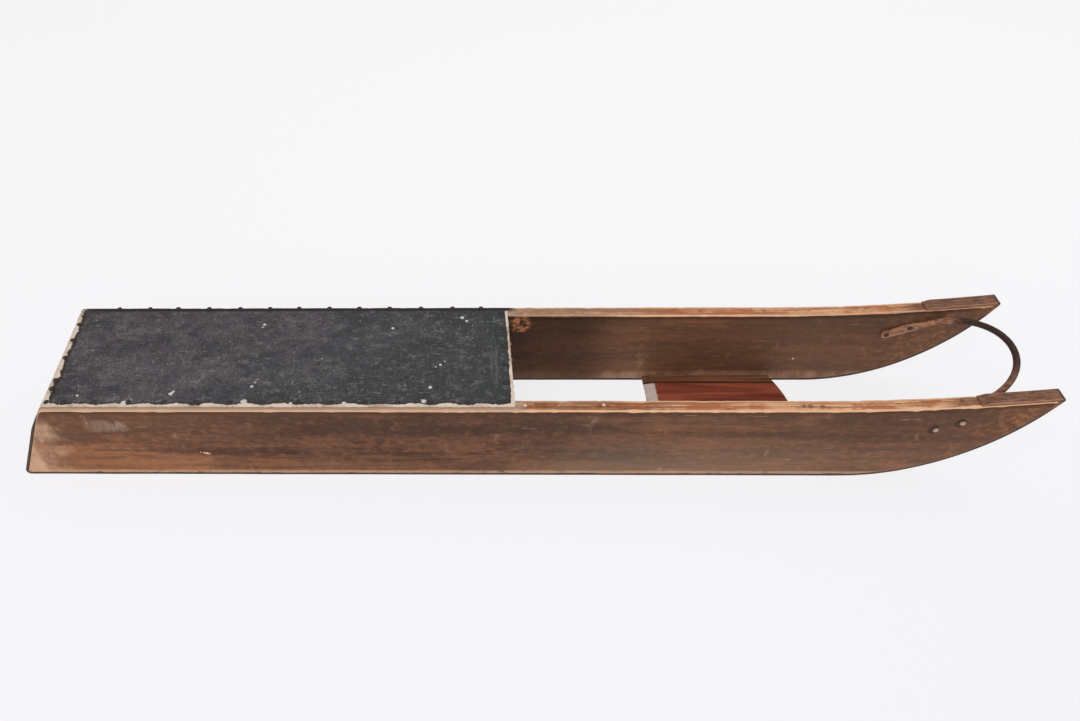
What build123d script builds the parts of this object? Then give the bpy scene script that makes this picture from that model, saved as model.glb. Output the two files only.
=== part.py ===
import math
import os

from build123d import *

os.makedirs("parts", exist_ok=True)

# Whole sled, in millimetres
# X runs forward to the tips, Y to the rider's left, Z up from the floor.
# Stations are measured forward from the heel's lowest corner.
LENGTH = 1524.0
WIDTH = 228.6
TOP = 146.0
PLANK = 22.2
INNER = WIDTH / 2 - PLANK


def at(station):
    return station - LENGTH / 2


# Iron shoe
SHOE = 4.8
SHOE_INSET = 0.6
SHOE_WIDTH = PLANK - 2 * SHOE_INSET
HEEL_END = TOP - 16.0
CAP_START = LENGTH - 113.0
CAP_RAMP = 12.0

# Runner plank, its curves set back from the tips
HEEL_RAKE = 22.4
HEEL_ROUND = 11.0
HEEL_BEND = 3.0
HEEL_CORNER = SHOE - 0.5 * HEEL_BEND
PROW_START = LENGTH - 263.3
SHEER_START = LENGTH - 344.0
SHEER_RISE = 20.9
TIP_ROUND = 2.4
TIP_SPREAD = 0.2
TIP_X = LENGTH - SHOE - 0.4 * TIP_ROUND
PLANK_EDGE = 1.6
rake = math.radians(HEEL_RAKE)

# Seat
SEAT_INSET = 3.5
SEAT_REAR = HEEL_CORNER + (TOP - SHOE) * math.tan(rake) + SEAT_INSET
SEAT_LENGTH = 690.0
SEAT_FRONT = SEAT_REAR + SEAT_LENGTH
SEAT_BOARD = 19.0
SEAT_EDGE = 3.0
COVER = 1.5
COVER_OVERHANG = 2.0
COVER_CORNER = 4.0
COVER_BARE_RIGHT = 11.0
COVER_BARE_LEFT = 5.0

# Bearers under the seat
BEARER_WIDTH = 45.0
BEARER_HEIGHT = 25.0
BEARER_INSET = 65.0
BEARER_STATIONS = {
    "rear": SEAT_REAR + BEARER_INSET,
    "middle": (SEAT_REAR + SEAT_FRONT) / 2,
    "front": SEAT_FRONT - BEARER_INSET,
}
HOUSING = 8.0
BEARER_TOP = TOP - SEAT_BOARD

# Low spreader ahead of the seat
SPREADER_END = LENGTH - 327.0
SPREADER_LENGTH = 207.0
SPREADER_REAR = SPREADER_END - SPREADER_LENGTH
SPREADER_BULGE = 25.0
SPREADER_THICK = 8.0
SPREADER_BEVEL = 20.0
SPREADER_HOUSING = 7.0

# Bow between the prows, bent from round rod with flattened ends
# Places along its legs count forward from the middle of its bend.
ROD = 9.5
BOW_TILT = 23.75
BOW_CENTRE = LENGTH - 104.0
BOW_CENTRE_Z = TOP - 13.9
BOW_RADIUS = INNER - ROD / 2
FLAT_THICK = 4.5
FLAT_WIDTH = 16.0
RIVET_ALONG = (-59.0, -23.0)
RIVET_SHANK = 3.0
RIVET_HEAD = 5.5
RIVET_DOME = 3.2
RIVET_TAIL = 4.6
RIVET_TAIL_HEIGHT = 1.8
RIVET_TAPER = 40.0
FLAT_END = RIVET_ALONG[1] + RIVET_TAIL
ROD_START = -1.0

tilt = math.radians(BOW_TILT)
bow_plane = Plane(
    origin=(at(BOW_CENTRE), 0, BOW_CENTRE_Z),
    x_dir=(math.cos(tilt), 0, math.sin(tilt)),
    z_dir=(-math.sin(tilt), 0, math.cos(tilt)),
)
rivet_spots = [
    (at(BOW_CENTRE) + along * math.cos(tilt), BOW_CENTRE_Z + along * math.sin(tilt))
    for along in RIVET_ALONG
]


def tangent_radius(start, end):
    """Radius of the arc that leaves start level and reaches end."""
    run = end[0] - start[0]
    rise = end[1] - start[1]
    return (run**2 + rise**2) / (2 * rise)


def upper_meeting(centre_a, radius_a, centre_b, radius_b):
    """Where two circles cross on the right of the line from a up to b."""
    across = math.dist(centre_a, centre_b)
    along = (across**2 + radius_a**2 - radius_b**2) / (2 * across)
    aside = math.sqrt(radius_a**2 - along**2)
    way = ((centre_b[0] - centre_a[0]) / across, (centre_b[1] - centre_a[1]) / across)
    return (
        centre_a[0] + along * way[0] + aside * way[1],
        centre_a[1] + along * way[1] - aside * way[0],
    )


def side_outline(grow):
    """Side of the runner, or the same outline set out by grow on every side."""
    tip = (at(TIP_X), TOP + SHEER_RISE)
    prow_radius = tangent_radius((at(PROW_START), SHOE), tip)
    sheer_radius = tangent_radius((at(SHEER_START), TOP), tip)
    corner = upper_meeting(
        (at(PROW_START), SHOE + prow_radius),
        prow_radius + grow,
        (at(SHEER_START), TOP + sheer_radius),
        sheer_radius - grow,
    )
    sole = SHOE - grow
    top = TOP + grow
    heel_low = (at(HEEL_CORNER) - grow / math.cos(rake) - grow * math.tan(rake), sole)
    heel_high = (heel_low[0] + (top - sole) * math.tan(rake), top)
    with BuildSketch(Plane.XZ) as side:
        with BuildLine():
            Line(heel_low, (at(PROW_START), sole))
            TangentArc((at(PROW_START), sole), corner, tangent=(1, 0))
            TangentArc((at(SHEER_START), top), corner, tangent=(1, 0))
            Line((at(SHEER_START), top), heel_high)
            Line(heel_high, heel_low)
        make_face()
        fillet(side.vertices().sort_by(Axis.X)[1], HEEL_ROUND + grow)
        fillet(side.vertices().sort_by(Axis.X)[0], HEEL_BEND + grow)
        fillet(side.vertices().sort_by(Axis.X)[-1], TIP_ROUND + TIP_SPREAD * grow)
    return side.sketch


# Side of the wood: flat sole, curved prow, gentle sheer, raked heel
with BuildSketch(Plane.XZ) as outline:
    add(side_outline(0))

# Side of the strap that wraps heel, sole, prow and tip
with BuildSketch(Plane.XZ) as strap:
    add(side_outline(SHOE))
    with BuildLine():
        Polyline(
            (at(-SHOE), HEEL_END),
            (at(CAP_START - 3 * CAP_RAMP), HEEL_END),
            (at(CAP_START - CAP_RAMP), TOP + 0.15 * SHEER_RISE),
            (at(CAP_START + 3 * CAP_RAMP), TOP + 1.3 * SHEER_RISE),
            (at(CAP_START + 3 * CAP_RAMP), TOP + 3 * SHEER_RISE),
            (at(-SHOE), TOP + 3 * SHEER_RISE),
            close=True,
        )
    make_face(mode=Mode.SUBTRACT)
    add(outline.sketch, mode=Mode.SUBTRACT)

# Right runner
with BuildPart() as runner_right:
    with BuildSketch(Plane.XZ.offset(INNER)):
        add(outline.sketch)
    extrude(amount=PLANK)
    side_edges = runner_right.edges().filter_by(Axis.Y, reverse=True)
    chamfer(side_edges, PLANK_EDGE)
    for station in BEARER_STATIONS.values():
        with Locations((at(station), -INNER, BEARER_TOP - BEARER_HEIGHT / 2)):
            Box(BEARER_WIDTH, 2 * HOUSING, BEARER_HEIGHT, mode=Mode.SUBTRACT)
    with BuildSketch(Plane.XY.offset(SHOE)):
        with Locations((at(SPREADER_REAR), -INNER)):
            Rectangle(SPREADER_LENGTH, 2 * SPREADER_HOUSING, align=(Align.MIN, Align.CENTER))
    extrude(amount=SPREADER_THICK, mode=Mode.SUBTRACT)
    with Locations(*[Location((x, -INNER - PLANK / 2, z), (90, 0, 0)) for x, z in rivet_spots]):
        Cylinder(RIVET_SHANK, 2 * PLANK, mode=Mode.SUBTRACT)
runner_right.part.label = "runner_right"
export_step(runner_right.part, "parts/runner_right.step")

# Left runner
with BuildPart() as runner_left:
    mirror(runner_right.part, about=Plane.XZ)
runner_left.part.label = "runner_left"
export_step(runner_left.part, "parts/runner_left.step")

# Right shoe
with BuildPart() as shoe_right:
    with BuildSketch(Plane.XZ.offset(INNER + SHOE_INSET)):
        add(strap.sketch)
    extrude(amount=SHOE_WIDTH)
shoe_right.part.label = "shoe_right"
export_step(shoe_right.part, "parts/shoe_right.step")

# Left shoe
with BuildPart() as shoe_left:
    mirror(shoe_right.part, about=Plane.XZ)
shoe_left.part.label = "shoe_left"
export_step(shoe_left.part, "parts/shoe_left.step")

# Bearers housed in the runners under the seat board
for place, station in BEARER_STATIONS.items():
    with BuildPart() as bearer:
        with Locations((at(station), 0, BEARER_TOP - BEARER_HEIGHT / 2)):
            Box(BEARER_WIDTH, 2 * (INNER + HOUSING), BEARER_HEIGHT)
    bearer.part.label = f"bearer_{place}"
    export_step(bearer.part, f"parts/bearer_{place}.step")

# Seat board, flush with the runner tops
with BuildPart() as seat_board:
    with Locations((at(SEAT_REAR), 0, BEARER_TOP)):
        Box(SEAT_LENGTH, 2 * INNER, SEAT_BOARD, align=(Align.MIN, Align.CENTER, Align.MIN))
    front_edges = seat_board.faces().sort_by(Axis.X)[-1].edges().filter_by(Axis.Y)
    fillet(front_edges, SEAT_EDGE)
seat_board.part.label = "seat_board"
export_step(seat_board.part, "parts/seat_board.step")

# Painted cloth lapped over the board and onto the runner tops
cover_length = SEAT_LENGTH + COVER_OVERHANG
cover_right = -WIDTH / 2 + COVER_BARE_RIGHT
cover_left = WIDTH / 2 - COVER_BARE_LEFT
with BuildPart() as seat_cover:
    with BuildSketch(Plane.XY.offset(TOP)):
        with Locations((at(SEAT_REAR) + cover_length / 2, (cover_left + cover_right) / 2)):
            RectangleRounded(cover_length, cover_left - cover_right, COVER_CORNER)
    extrude(amount=COVER)
seat_cover.part.label = "seat_cover"
export_step(seat_cover.part, "parts/seat_cover.step")

# Low spreader let into the runners above the shoes
spreader_half = INNER + SPREADER_HOUSING
with BuildPart() as spreader:
    with BuildSketch(Plane.XY.offset(SHOE)):
        with BuildLine():
            Polyline(
                (at(SPREADER_END), -INNER),
                (at(SPREADER_END), -spreader_half),
                (at(SPREADER_REAR), -spreader_half),
                (at(SPREADER_REAR), spreader_half),
                (at(SPREADER_END), spreader_half),
                (at(SPREADER_END), INNER),
            )
            ThreePointArc(
                (at(SPREADER_END), INNER),
                (at(SPREADER_END + SPREADER_BULGE), 0),
                (at(SPREADER_END), -INNER),
            )
        make_face()
    extrude(amount=SPREADER_THICK)
    with BuildSketch(Plane.XZ.offset(-INNER)):
        with BuildLine():
            Polyline(
                (at(SPREADER_REAR), SHOE + SPREADER_THICK / 2),
                (at(SPREADER_REAR + SPREADER_BEVEL), SHOE + SPREADER_THICK),
                (at(SPREADER_REAR), SHOE + SPREADER_THICK),
                close=True,
            )
        make_face()
    extrude(amount=2 * INNER, mode=Mode.SUBTRACT)
spreader.part.label = "spreader"
export_step(spreader.part, "parts/spreader.step")

# Bow: one bent rod, each end drawn out flat and riveted to a prow
with BuildPart() as bow:
    with BuildLine(bow_plane) as bow_line:
        Line((FLAT_END, BOW_RADIUS), (0, BOW_RADIUS))
        ThreePointArc((0, BOW_RADIUS), (BOW_RADIUS, 0), (0, -BOW_RADIUS))
        Line((0, -BOW_RADIUS), (FLAT_END, -BOW_RADIUS))
    with BuildSketch(bow_line.line ^ 0):
        Circle(ROD / 2)
    sweep(path=bow_line.line)
    for side in (1, -1):
        with BuildSketch(bow_plane):
            with BuildLine():
                Polyline(
                    (FLAT_END, side * (INNER - FLAT_THICK)),
                    (ROD_START, side * (INNER - ROD)),
                    (ROD_START, side * (INNER - 2 * ROD)),
                    (FLAT_END - ROD, side * (INNER - 2 * ROD)),
                    (FLAT_END - ROD, side * (INNER - FLAT_THICK)),
                    close=True,
                )
            make_face()
        extrude(amount=FLAT_WIDTH, both=True, mode=Mode.SUBTRACT)
        flat_face = Location((0, side * INNER, 0), (side * 90, 0, 0))
        with BuildSketch(Plane(bow_plane.location * flat_face)):
            with Locations(((RIVET_ALONG[0] + FLAT_END) / 2, 0)):
                SlotCenterToCenter(FLAT_END - RIVET_ALONG[0], FLAT_WIDTH)
        extrude(amount=FLAT_THICK)
    with Locations(*[Location((x, 0, z), (90, 0, 0)) for x, z in rivet_spots]):
        Cylinder(RIVET_SHANK, WIDTH, mode=Mode.SUBTRACT)
bow.part.label = "bow"
export_step(bow.part, "parts/bow.step")

# Rivets of the right end: domed outside, hammered over on the flat
with BuildPart() as bow_rivets_right:
    with BuildSketch(Plane.XZ.offset(INNER - FLAT_THICK)):
        with Locations(*rivet_spots):
            Circle(RIVET_SHANK)
    extrude(amount=PLANK + FLAT_THICK)
    with BuildSketch(Plane.XZ.offset(WIDTH / 2)):
        with Locations(*rivet_spots):
            Circle(RIVET_HEAD)
    extrude(amount=RIVET_DOME, taper=RIVET_TAPER)
    with BuildSketch(Plane.XZ.offset(INNER - FLAT_THICK)):
        with Locations(*rivet_spots):
            Circle(RIVET_TAIL)
    extrude(amount=-RIVET_TAIL_HEIGHT, taper=RIVET_TAPER)
bow_rivets_right.part.label = "bow_rivets_right"
export_step(bow_rivets_right.part, "parts/bow_rivets_right.step")

# Rivets of the left end
with BuildPart() as bow_rivets_left:
    mirror(bow_rivets_right.part, about=Plane.XZ)
bow_rivets_left.part.label = "bow_rivets_left"
export_step(bow_rivets_left.part, "parts/bow_rivets_left.step")
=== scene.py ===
import math
import random

import bmesh
import bpy
import numpy as np
from bpy.props import FloatProperty, FloatVectorProperty, PointerProperty
from mathutils import Matrix, Vector, noise


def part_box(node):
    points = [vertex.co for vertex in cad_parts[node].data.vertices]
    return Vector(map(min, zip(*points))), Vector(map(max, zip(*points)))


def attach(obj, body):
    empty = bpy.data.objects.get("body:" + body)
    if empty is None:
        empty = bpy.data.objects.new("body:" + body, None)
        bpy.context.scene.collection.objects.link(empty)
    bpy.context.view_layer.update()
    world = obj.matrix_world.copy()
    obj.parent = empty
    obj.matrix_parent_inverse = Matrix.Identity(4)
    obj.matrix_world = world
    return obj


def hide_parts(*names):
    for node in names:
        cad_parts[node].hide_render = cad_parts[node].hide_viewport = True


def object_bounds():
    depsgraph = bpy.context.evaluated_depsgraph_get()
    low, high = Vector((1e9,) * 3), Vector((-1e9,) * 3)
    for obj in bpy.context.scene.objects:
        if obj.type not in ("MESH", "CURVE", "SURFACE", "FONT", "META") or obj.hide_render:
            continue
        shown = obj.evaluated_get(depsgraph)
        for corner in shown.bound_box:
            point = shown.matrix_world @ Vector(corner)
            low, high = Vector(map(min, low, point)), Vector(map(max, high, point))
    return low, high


bl_info = {
    "name": "Wooden Racing Sled",
    "version": (1, 0, 0),
    "blender": (4, 5, 0),
    "location": "View3D > Sidebar > Sled",
    "description": "Dresses the packed sled with worn wood, rusted iron and painted cloth",
    "category": "Add Mesh",
}

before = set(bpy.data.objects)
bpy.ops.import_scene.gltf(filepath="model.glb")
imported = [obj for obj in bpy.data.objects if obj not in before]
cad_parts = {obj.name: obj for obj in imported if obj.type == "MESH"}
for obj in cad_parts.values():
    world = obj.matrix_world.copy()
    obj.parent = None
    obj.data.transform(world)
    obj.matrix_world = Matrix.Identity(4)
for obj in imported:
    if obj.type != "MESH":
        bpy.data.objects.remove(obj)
cad_low, cad_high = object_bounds()

MM = 0.001
HEEL_X = cad_low.x
SEAT_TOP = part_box("seat_board")[1].z
PLANK_INNER, PLANK_OUTER = (corner.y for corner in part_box("runner_left"))

# Where the tacks, screws and nails sit; each long row of tacks starts at its number

RIGHT_TACKS = HEEL_X + 94 * MM
LEFT_TACKS = HEEL_X + 125 * MM
REAR_TACKS = [across * MM for across in (73, 36, -3, -52, -70, -97)]
FRONT_TACKS = [across * MM for across in (100, 62, 22, -18, -58, -94)]
SOLE_SCREWS = (-0.6, -0.36, -0.12, 0.12, 0.36)
HEEL_SCREW_SHARES = (0.22, 0.62)
TOP_NAILS = ((HEEL_X + 0.771, -0.102), (HEEL_X + 0.884, -0.1005))


# Settings


def length(name, description, default):
    """A length property whose default is given in millimetres."""
    return FloatProperty(
        name=name, description=description, default=default * MM, min=0.0, unit="LENGTH"
    )


def angle(name, description, default):
    """An angle property whose default is given in degrees."""
    return FloatProperty(
        name=name, description=description, default=math.radians(default), subtype="ANGLE"
    )


def colour(name, description, *display):
    """A colour property whose default is given as display values from 0 to 255."""
    linear = [((value / 255 + 0.055) / 1.055) ** 2.4 for value in display]
    return FloatVectorProperty(
        name=name, description=description, default=linear, min=0.0, max=1.0, subtype="COLOR"
    )


class SledSizes(bpy.types.PropertyGroup):
    """Sizes of the woodwork, the iron and the cloth."""

    shoe: length("Shoe", "Thickness of the iron strap under each runner", 4.8)
    shoe_inset: length("Shoe inset", "Wood that shows on each side of the strap", 0.6)
    shoe_stop: length("Shoe stop", "How far below the seat the strap ends on the heel", 16.0)
    cap: length("Cap", "Length of strap turned back over each tip", 113.0)
    cap_ramp: length("Cap ramp", "Length of the thinned end of the cap", 12.0)
    heel_rake: angle("Heel rake", "Lean of the heel from upright", 22.4)
    heel_round: length("Heel round", "Radius of the heel's upper corner", 11.0)
    heel_bend: length("Heel bend", "Radius of the heel's lower corner", 3.0)
    prow: length("Prow", "Length of the upward curve under each tip", 263.3)
    sheer: length("Sheer", "Length of the rising part of the top", 344.0)
    sheer_rise: length("Sheer rise", "Height of the tips over the seat", 20.9)
    tip_round: length("Tip round", "Radius of the wooden tip", 2.4)
    arris: length("Arris", "Radius of the worn edges of the planks", 1.5)
    rod: length("Rod", "Diameter of the bow", 9.5)
    bow_tilt: angle("Bow tilt", "Upward tilt of the bow", 23.75)
    bow_back: length("Bow setback", "From the tips back to the middle of the bow's bend", 104.0)
    bow_drop: length("Bow drop", "How far the middle of the bend lies below the seat", 13.9)
    flat_thick: length("Flat thickness", "Thickness of the bow's hammered ends", 4.5)
    flat_width: length("Flat width", "Width of the bow's hammered ends", 16.0)
    rivet_rear: length("Rear rivet", "From the bend's middle back to the rear rivets", 59.0)
    rivet_front: length("Front rivet", "From the bend's middle back to the front rivets", 23.0)
    tack_pitch: length("Tack spacing", "Distance between the tacks along the cloth", 49.2)


class SledFinish(bpy.types.PropertyGroup):
    """Colours of the wood, iron and cloth."""

    varnish_dark: colour("Dark varnish", "Darker grain of the runners", 92, 60, 44)
    varnish_light: colour("Light varnish", "Lighter grain of the runners", 150, 98, 68)
    amber: colour("Amber varnish", "Warm glow low on the runners", 160, 106, 69)
    grime: colour("Grime", "Grey-brown veil over the varnish", 102, 70, 51)
    deepened: colour("Soaked varnish", "How much darker the middle is", 196, 202, 214)
    # Pores is also the colour of the painted shadows beside the rivets.
    pores: colour("Pores", "Darkest grain, pits and seams", 58, 40, 31)
    seam: colour("Under the edge", "Dirt just under the top edge", 82, 50, 33)
    scuffed: colour("Scuffed varnish", "Varnish rubbed thin", 196, 156, 127)
    shade: colour("Inner faces", "How much darker the inner faces are", 160, 151, 147)
    tip: colour("Tips", "Browner varnish by the tips", 120, 77, 51)
    # The faded colour is also laid over the runners' faces as painted sheen.
    faded: colour("Faded varnish", "Grey faded patch near the heel", 158, 140, 120)
    bare_dark: colour("Bare wood, dark", "Darker parts of the worn wood", 176, 116, 78)
    bare_light: colour("Bare wood, light", "Lighter parts of the worn wood", 234, 182, 140)
    bare_red: colour("Bare wood, red", "Reddish parts of the worn wood", 176, 104, 68)
    stain: colour("Stain", "Dark stains on the bare wood", 110, 72, 52)
    rubbed: colour("Rubbed edge", "Palest wood, on the edges", 228, 184, 150)
    batten: colour("Battens", "Unpainted softwood under the seat", 168, 130, 96)
    red: colour("Red board", "Varnish of the low spreader", 186, 98, 72)
    red_dark: colour("Red board, dark", "Darker grain of the low spreader", 118, 54, 40)
    chalk: colour("Worn bevel", "Pale rear bevel of the low spreader", 248, 226, 226)
    iron: colour("Iron", "Dark iron", 78, 58, 48)
    bow: colour("Bow", "Dark iron of the bow", 62, 41, 36)
    rust: colour("Rust", "Rust on the iron", 114, 70, 53)
    rust_pale: colour("Pale rust", "Dry pale rust", 178, 130, 100)
    # The crown colour is partly a painted highlight.
    crown: colour("Rivet crown", "Rubbed middle of the rivet heads", 178, 146, 128)
    nail: colour("Nails", "Worn heads of the nails in the top", 226, 206, 190)
    tack: colour("Tacks", "Blackened tack heads and cracks", 48, 42, 40)
    cloth: colour("Cloth", "Painted cloth", 94, 90, 95)
    cloth_dark: colour("Cloth, dark", "Darker patches of the cloth", 55, 53, 57)
    cloth_teal: colour("Cloth, greenish", "Greenish front of the cloth", 50, 57, 57)
    cloth_worn: colour("Cloth, worn", "Thin paint on the cloth", 116, 112, 114)
    scratch: colour("Scratches", "Pale scratches in the paint", 178, 174, 172)
    flaked: colour("Flaked paint", "Small spots where the paint is gone", 214, 208, 208)
    canvas: colour("Raw canvas", "Unpainted edge of the cloth", 228, 210, 192)
    canvas_grubby: colour("Grubby canvas", "Dirt on the raw canvas", 178, 152, 130)


class StageSettings(bpy.types.PropertyGroup):
    """Camera, floor and light."""

    focal: FloatProperty(
        name="Focal length",
        description="Focal length in millimetres on a 36 mm sensor",
        default=30.0,
        min=1.0,
        unit="CAMERA",
    )
    spot: FloatVectorProperty(
        name="Camera place",
        description="Where the camera stands",
        default=(-0.1105, -0.9912, 1.1027),
        subtype="TRANSLATION",
        unit="LENGTH",
    )
    look_down: angle("Look down", "How far the camera looks down below level", 44.23)
    swing: angle("Swing", "Turn of the camera to the left, seen from above", 1.855)
    roll: angle("Roll", "Turn of the camera about its line of sight", -1.325)
    shift: FloatProperty(
        name="Sideways shift",
        description="Lens shift to the right, as a share of the frame's width",
        default=0.1095,
    )
    sky: FloatProperty(name="Sky", description="Strength of the even light", default=0.45)
    lamp: FloatProperty(name="Lamp", description="Power of the softbox in watts", default=40.0)


# Mesh building

SEED_STEPS = (13.7, 5.3, 9.1)


def ripple(points, scale, seed):
    """Smooth noise from -1 to 1 at each point, with scale in waves per metre."""
    shift = Vector([seed * step for step in SEED_STEPS])
    return np.array([noise.noise(Vector(p) + shift) for p in np.asarray(points) * scale])


def build(name, points, faces, finish, slot, **layers):
    """A smooth mesh piece that rides on the sled, with a value per point for each layer."""
    mesh = bpy.data.meshes.new(name)
    mesh.from_pydata([tuple(p) for p in points], [], faces)
    for layer, values in layers.items():
        made = mesh.attributes.new(layer, "FLOAT", "POINT")
        made.data.foreach_set("value", np.asarray(values, np.float32))
    work = bmesh.new()
    work.from_mesh(mesh)
    bmesh.ops.recalc_face_normals(work, faces=work.faces)
    work.to_mesh(mesh)
    work.free()
    mesh.shade_smooth()
    mesh.materials.append(finish)
    piece = bpy.data.objects.new(name, mesh)
    bpy.context.scene.collection.objects.link(piece)
    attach(piece, "root")
    return piece


def band_faces(start, rings, count, closed=True):
    """Quads between rings of count points that follow each other from index start."""
    return [
        (
            start + ring * count + i,
            start + ring * count + (i + 1) % count,
            start + (ring + 1) * count + (i + 1) % count,
            start + (ring + 1) * count + i,
        )
        for ring in range(rings - 1)
        for i in range(count if closed else count - 1)
    ]


def gather(parts):
    """Joins lists of points and faces into one."""
    points, faces = [], []
    for part_points, part_faces in parts:
        faces += [tuple(i + len(points) for i in face) for face in part_faces]
        points += list(part_points)
    return points, faces


def turned(profile, count, place, wobble=0.0, seed=0):
    """A small part turned from rows of radius and height, the ends on its axis."""
    points = [Vector((0, 0, profile[0][1]))]
    for radius, height in profile[1:-1]:
        for i in range(count):
            turn = math.tau * i / count
            spot = Vector((radius * math.cos(turn), radius * math.sin(turn), height))
            points.append(spot * (1 + wobble * noise.noise(spot * 300 + Vector((seed, 0, 0)))))
    points.append(Vector((0, 0, profile[-1][1])))
    rings = len(profile) - 2
    faces = band_faces(1, rings, count)
    last = 1 + (rings - 1) * count
    faces += [(0, 1 + i, 1 + (i + 1) % count) for i in range(count)]
    faces += [(len(points) - 1, last + (i + 1) % count, last + i) for i in range(count)]
    return [place @ p for p in points], faces


def slotted(radius, place):
    """A flat screw head with a slot, its two halves standing on a disc."""
    half_slot = 0.35 * MM
    sunk = -0.3 * MM
    arc_steps = 14
    levels = ((1.0, -0.1), (1.0, 0.2), (0.93, 0.32), (0.5, 0.42))
    parts = [turned([(0, 0), (radius, 0), (radius, sunk), (0, sunk)], 24, place)]
    start = math.asin(half_slot / radius)
    for hand in (-1, 1):
        arc = [start + (math.pi - 2 * start) * i / arc_steps for i in range(arc_steps + 1)]
        flat = [Vector((radius * math.cos(a), hand * radius * math.sin(a), 0)) for a in arc]
        heart = Vector((0, hand * 0.45 * radius, 0))
        points = []
        for share, height in levels:
            lift = Vector((0, 0, height * MM))
            points += [place @ (heart + (spot - heart) * share + lift) for spot in flat]
        count = len(flat)
        faces = band_faces(0, len(levels), count)
        faces += [tuple(range(count)), tuple(range(len(points) - count, len(points)))]
        parts.append((points, faces))
    return gather(parts)


def strand(line, radius):
    """A thin thread along a line of points, closed and thinned at its ends."""
    sides = 5
    points = []
    for i, spot in enumerate(line):
        way = (line[min(i + 1, len(line) - 1)] - line[max(i - 1, 0)]).normalized()
        aside = way.cross(Vector((0, 0, 1))).normalized()
        above = aside.cross(way)
        thin = radius * (0.5 if i in (0, len(line) - 1) else 1.0)
        for k in range(sides):
            turn = math.tau * k / sides
            points.append(spot + thin * (math.cos(turn) * aside + math.sin(turn) * above))
    faces = band_faces(0, len(line), sides)
    faces += [tuple(range(sides)), tuple(range(len(points) - sides, len(points)))]
    return points, faces


def facing(spot, axis, turn=0.0):
    """A place whose Z points along axis, turned about it."""
    look = Vector(axis).to_track_quat("Z", "Y").to_matrix().to_4x4()
    return Matrix.Translation(spot) @ look @ Matrix.Rotation(turn, 4, "Z")


# Outlines, as rows of two coordinates, the outward normal and the room for an arris

OPEN_ROOM = 1.0
# Rows round the strap's tip, and in each half of a board's corner
NOSE_ROWS = 18
CORNER_ROWS = 3
# How uneven the planed faces and the forged iron are
DISH = 0.12 * MM


def straight(start, end, count):
    """Rows along a straight run, its end left off."""
    start, end = Vector(start), Vector(end)
    along = (end - start).normalized()
    return [
        (*start.lerp(end, i / count), along.y, -along.x, OPEN_ROOM) for i in range(count)
    ]


def bent(centre, radius, turn_from, turn_to, count):
    """Rows along an arc, its end left off; it curves inward if the turn falls."""
    side = 1 if turn_to > turn_from else -1
    rows = []
    for i in range(count):
        turn = turn_from + (turn_to - turn_from) * i / count
        way = Vector((math.cos(turn), math.sin(turn)))
        spot = Vector(centre) + radius * way
        rows.append((*spot, *(side * way), radius if side > 0 else OPEN_ROOM))
    return rows


def meeting(centre_a, radius_a, centre_b, radius_b):
    """Where two circles cross on the right of the line from a up to b."""
    line = centre_b - centre_a
    along = (line.length_squared + radius_a**2 - radius_b**2) / (2 * line.length)
    aside = math.sqrt(radius_a**2 - along**2)
    way = line.normalized()
    return centre_a + along * way + aside * Vector((way.y, -way.x))


class RunnerSide:
    """Corners, centres and turns of the runner's side, in x and z."""

    def __init__(self, sizes):
        rake = sizes.heel_rake
        sole, top, front = sizes.shoe, SEAT_TOP, -HEEL_X
        self.up = Vector((math.sin(rake), math.cos(rake)))
        self.foot = Vector((HEEL_X + sole - sizes.heel_bend / 2, sole))
        self.head = self.foot + self.up * (top - sole) / self.up.y
        low_reach = sizes.heel_bend / math.tan((math.pi / 2 - rake) / 2)
        high_reach = sizes.heel_round / math.tan((math.pi / 2 + rake) / 2)
        self.bend_top = self.foot + self.up * low_reach
        self.bend_centre = Vector((self.foot.x + low_reach, sole + sizes.heel_bend))
        self.round_low = self.head - self.up * high_reach
        self.round_centre = Vector((self.head.x + high_reach, top - sizes.heel_round))
        self.heel_turn = math.pi - rake
        tip = Vector((front - sole - 0.4 * sizes.tip_round, top + sizes.sheer_rise))
        self.prow_start = Vector((front - sizes.prow, sole))
        self.sheer_start = Vector((front - sizes.sheer, top))
        rise = tip - self.prow_start
        self.prow_radius = rise.length_squared / (2 * rise.y)
        rise = tip - self.sheer_start
        self.sheer_radius = rise.length_squared / (2 * rise.y)
        self.prow_centre = self.prow_start + Vector((0, self.prow_radius))
        self.sheer_centre = self.sheer_start + Vector((0, self.sheer_radius))
        self.nose = meeting(
            self.prow_centre,
            self.prow_radius - sizes.tip_round,
            self.sheer_centre,
            self.sheer_radius + sizes.tip_round,
        )
        low = self.nose - self.prow_centre
        high = self.nose - self.sheer_centre
        self.nose_from = math.atan2(low.y, low.x)
        self.nose_to = math.atan2(-high.y, -high.x)
        self.sheer_end = math.atan2(high.y, high.x)


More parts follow.
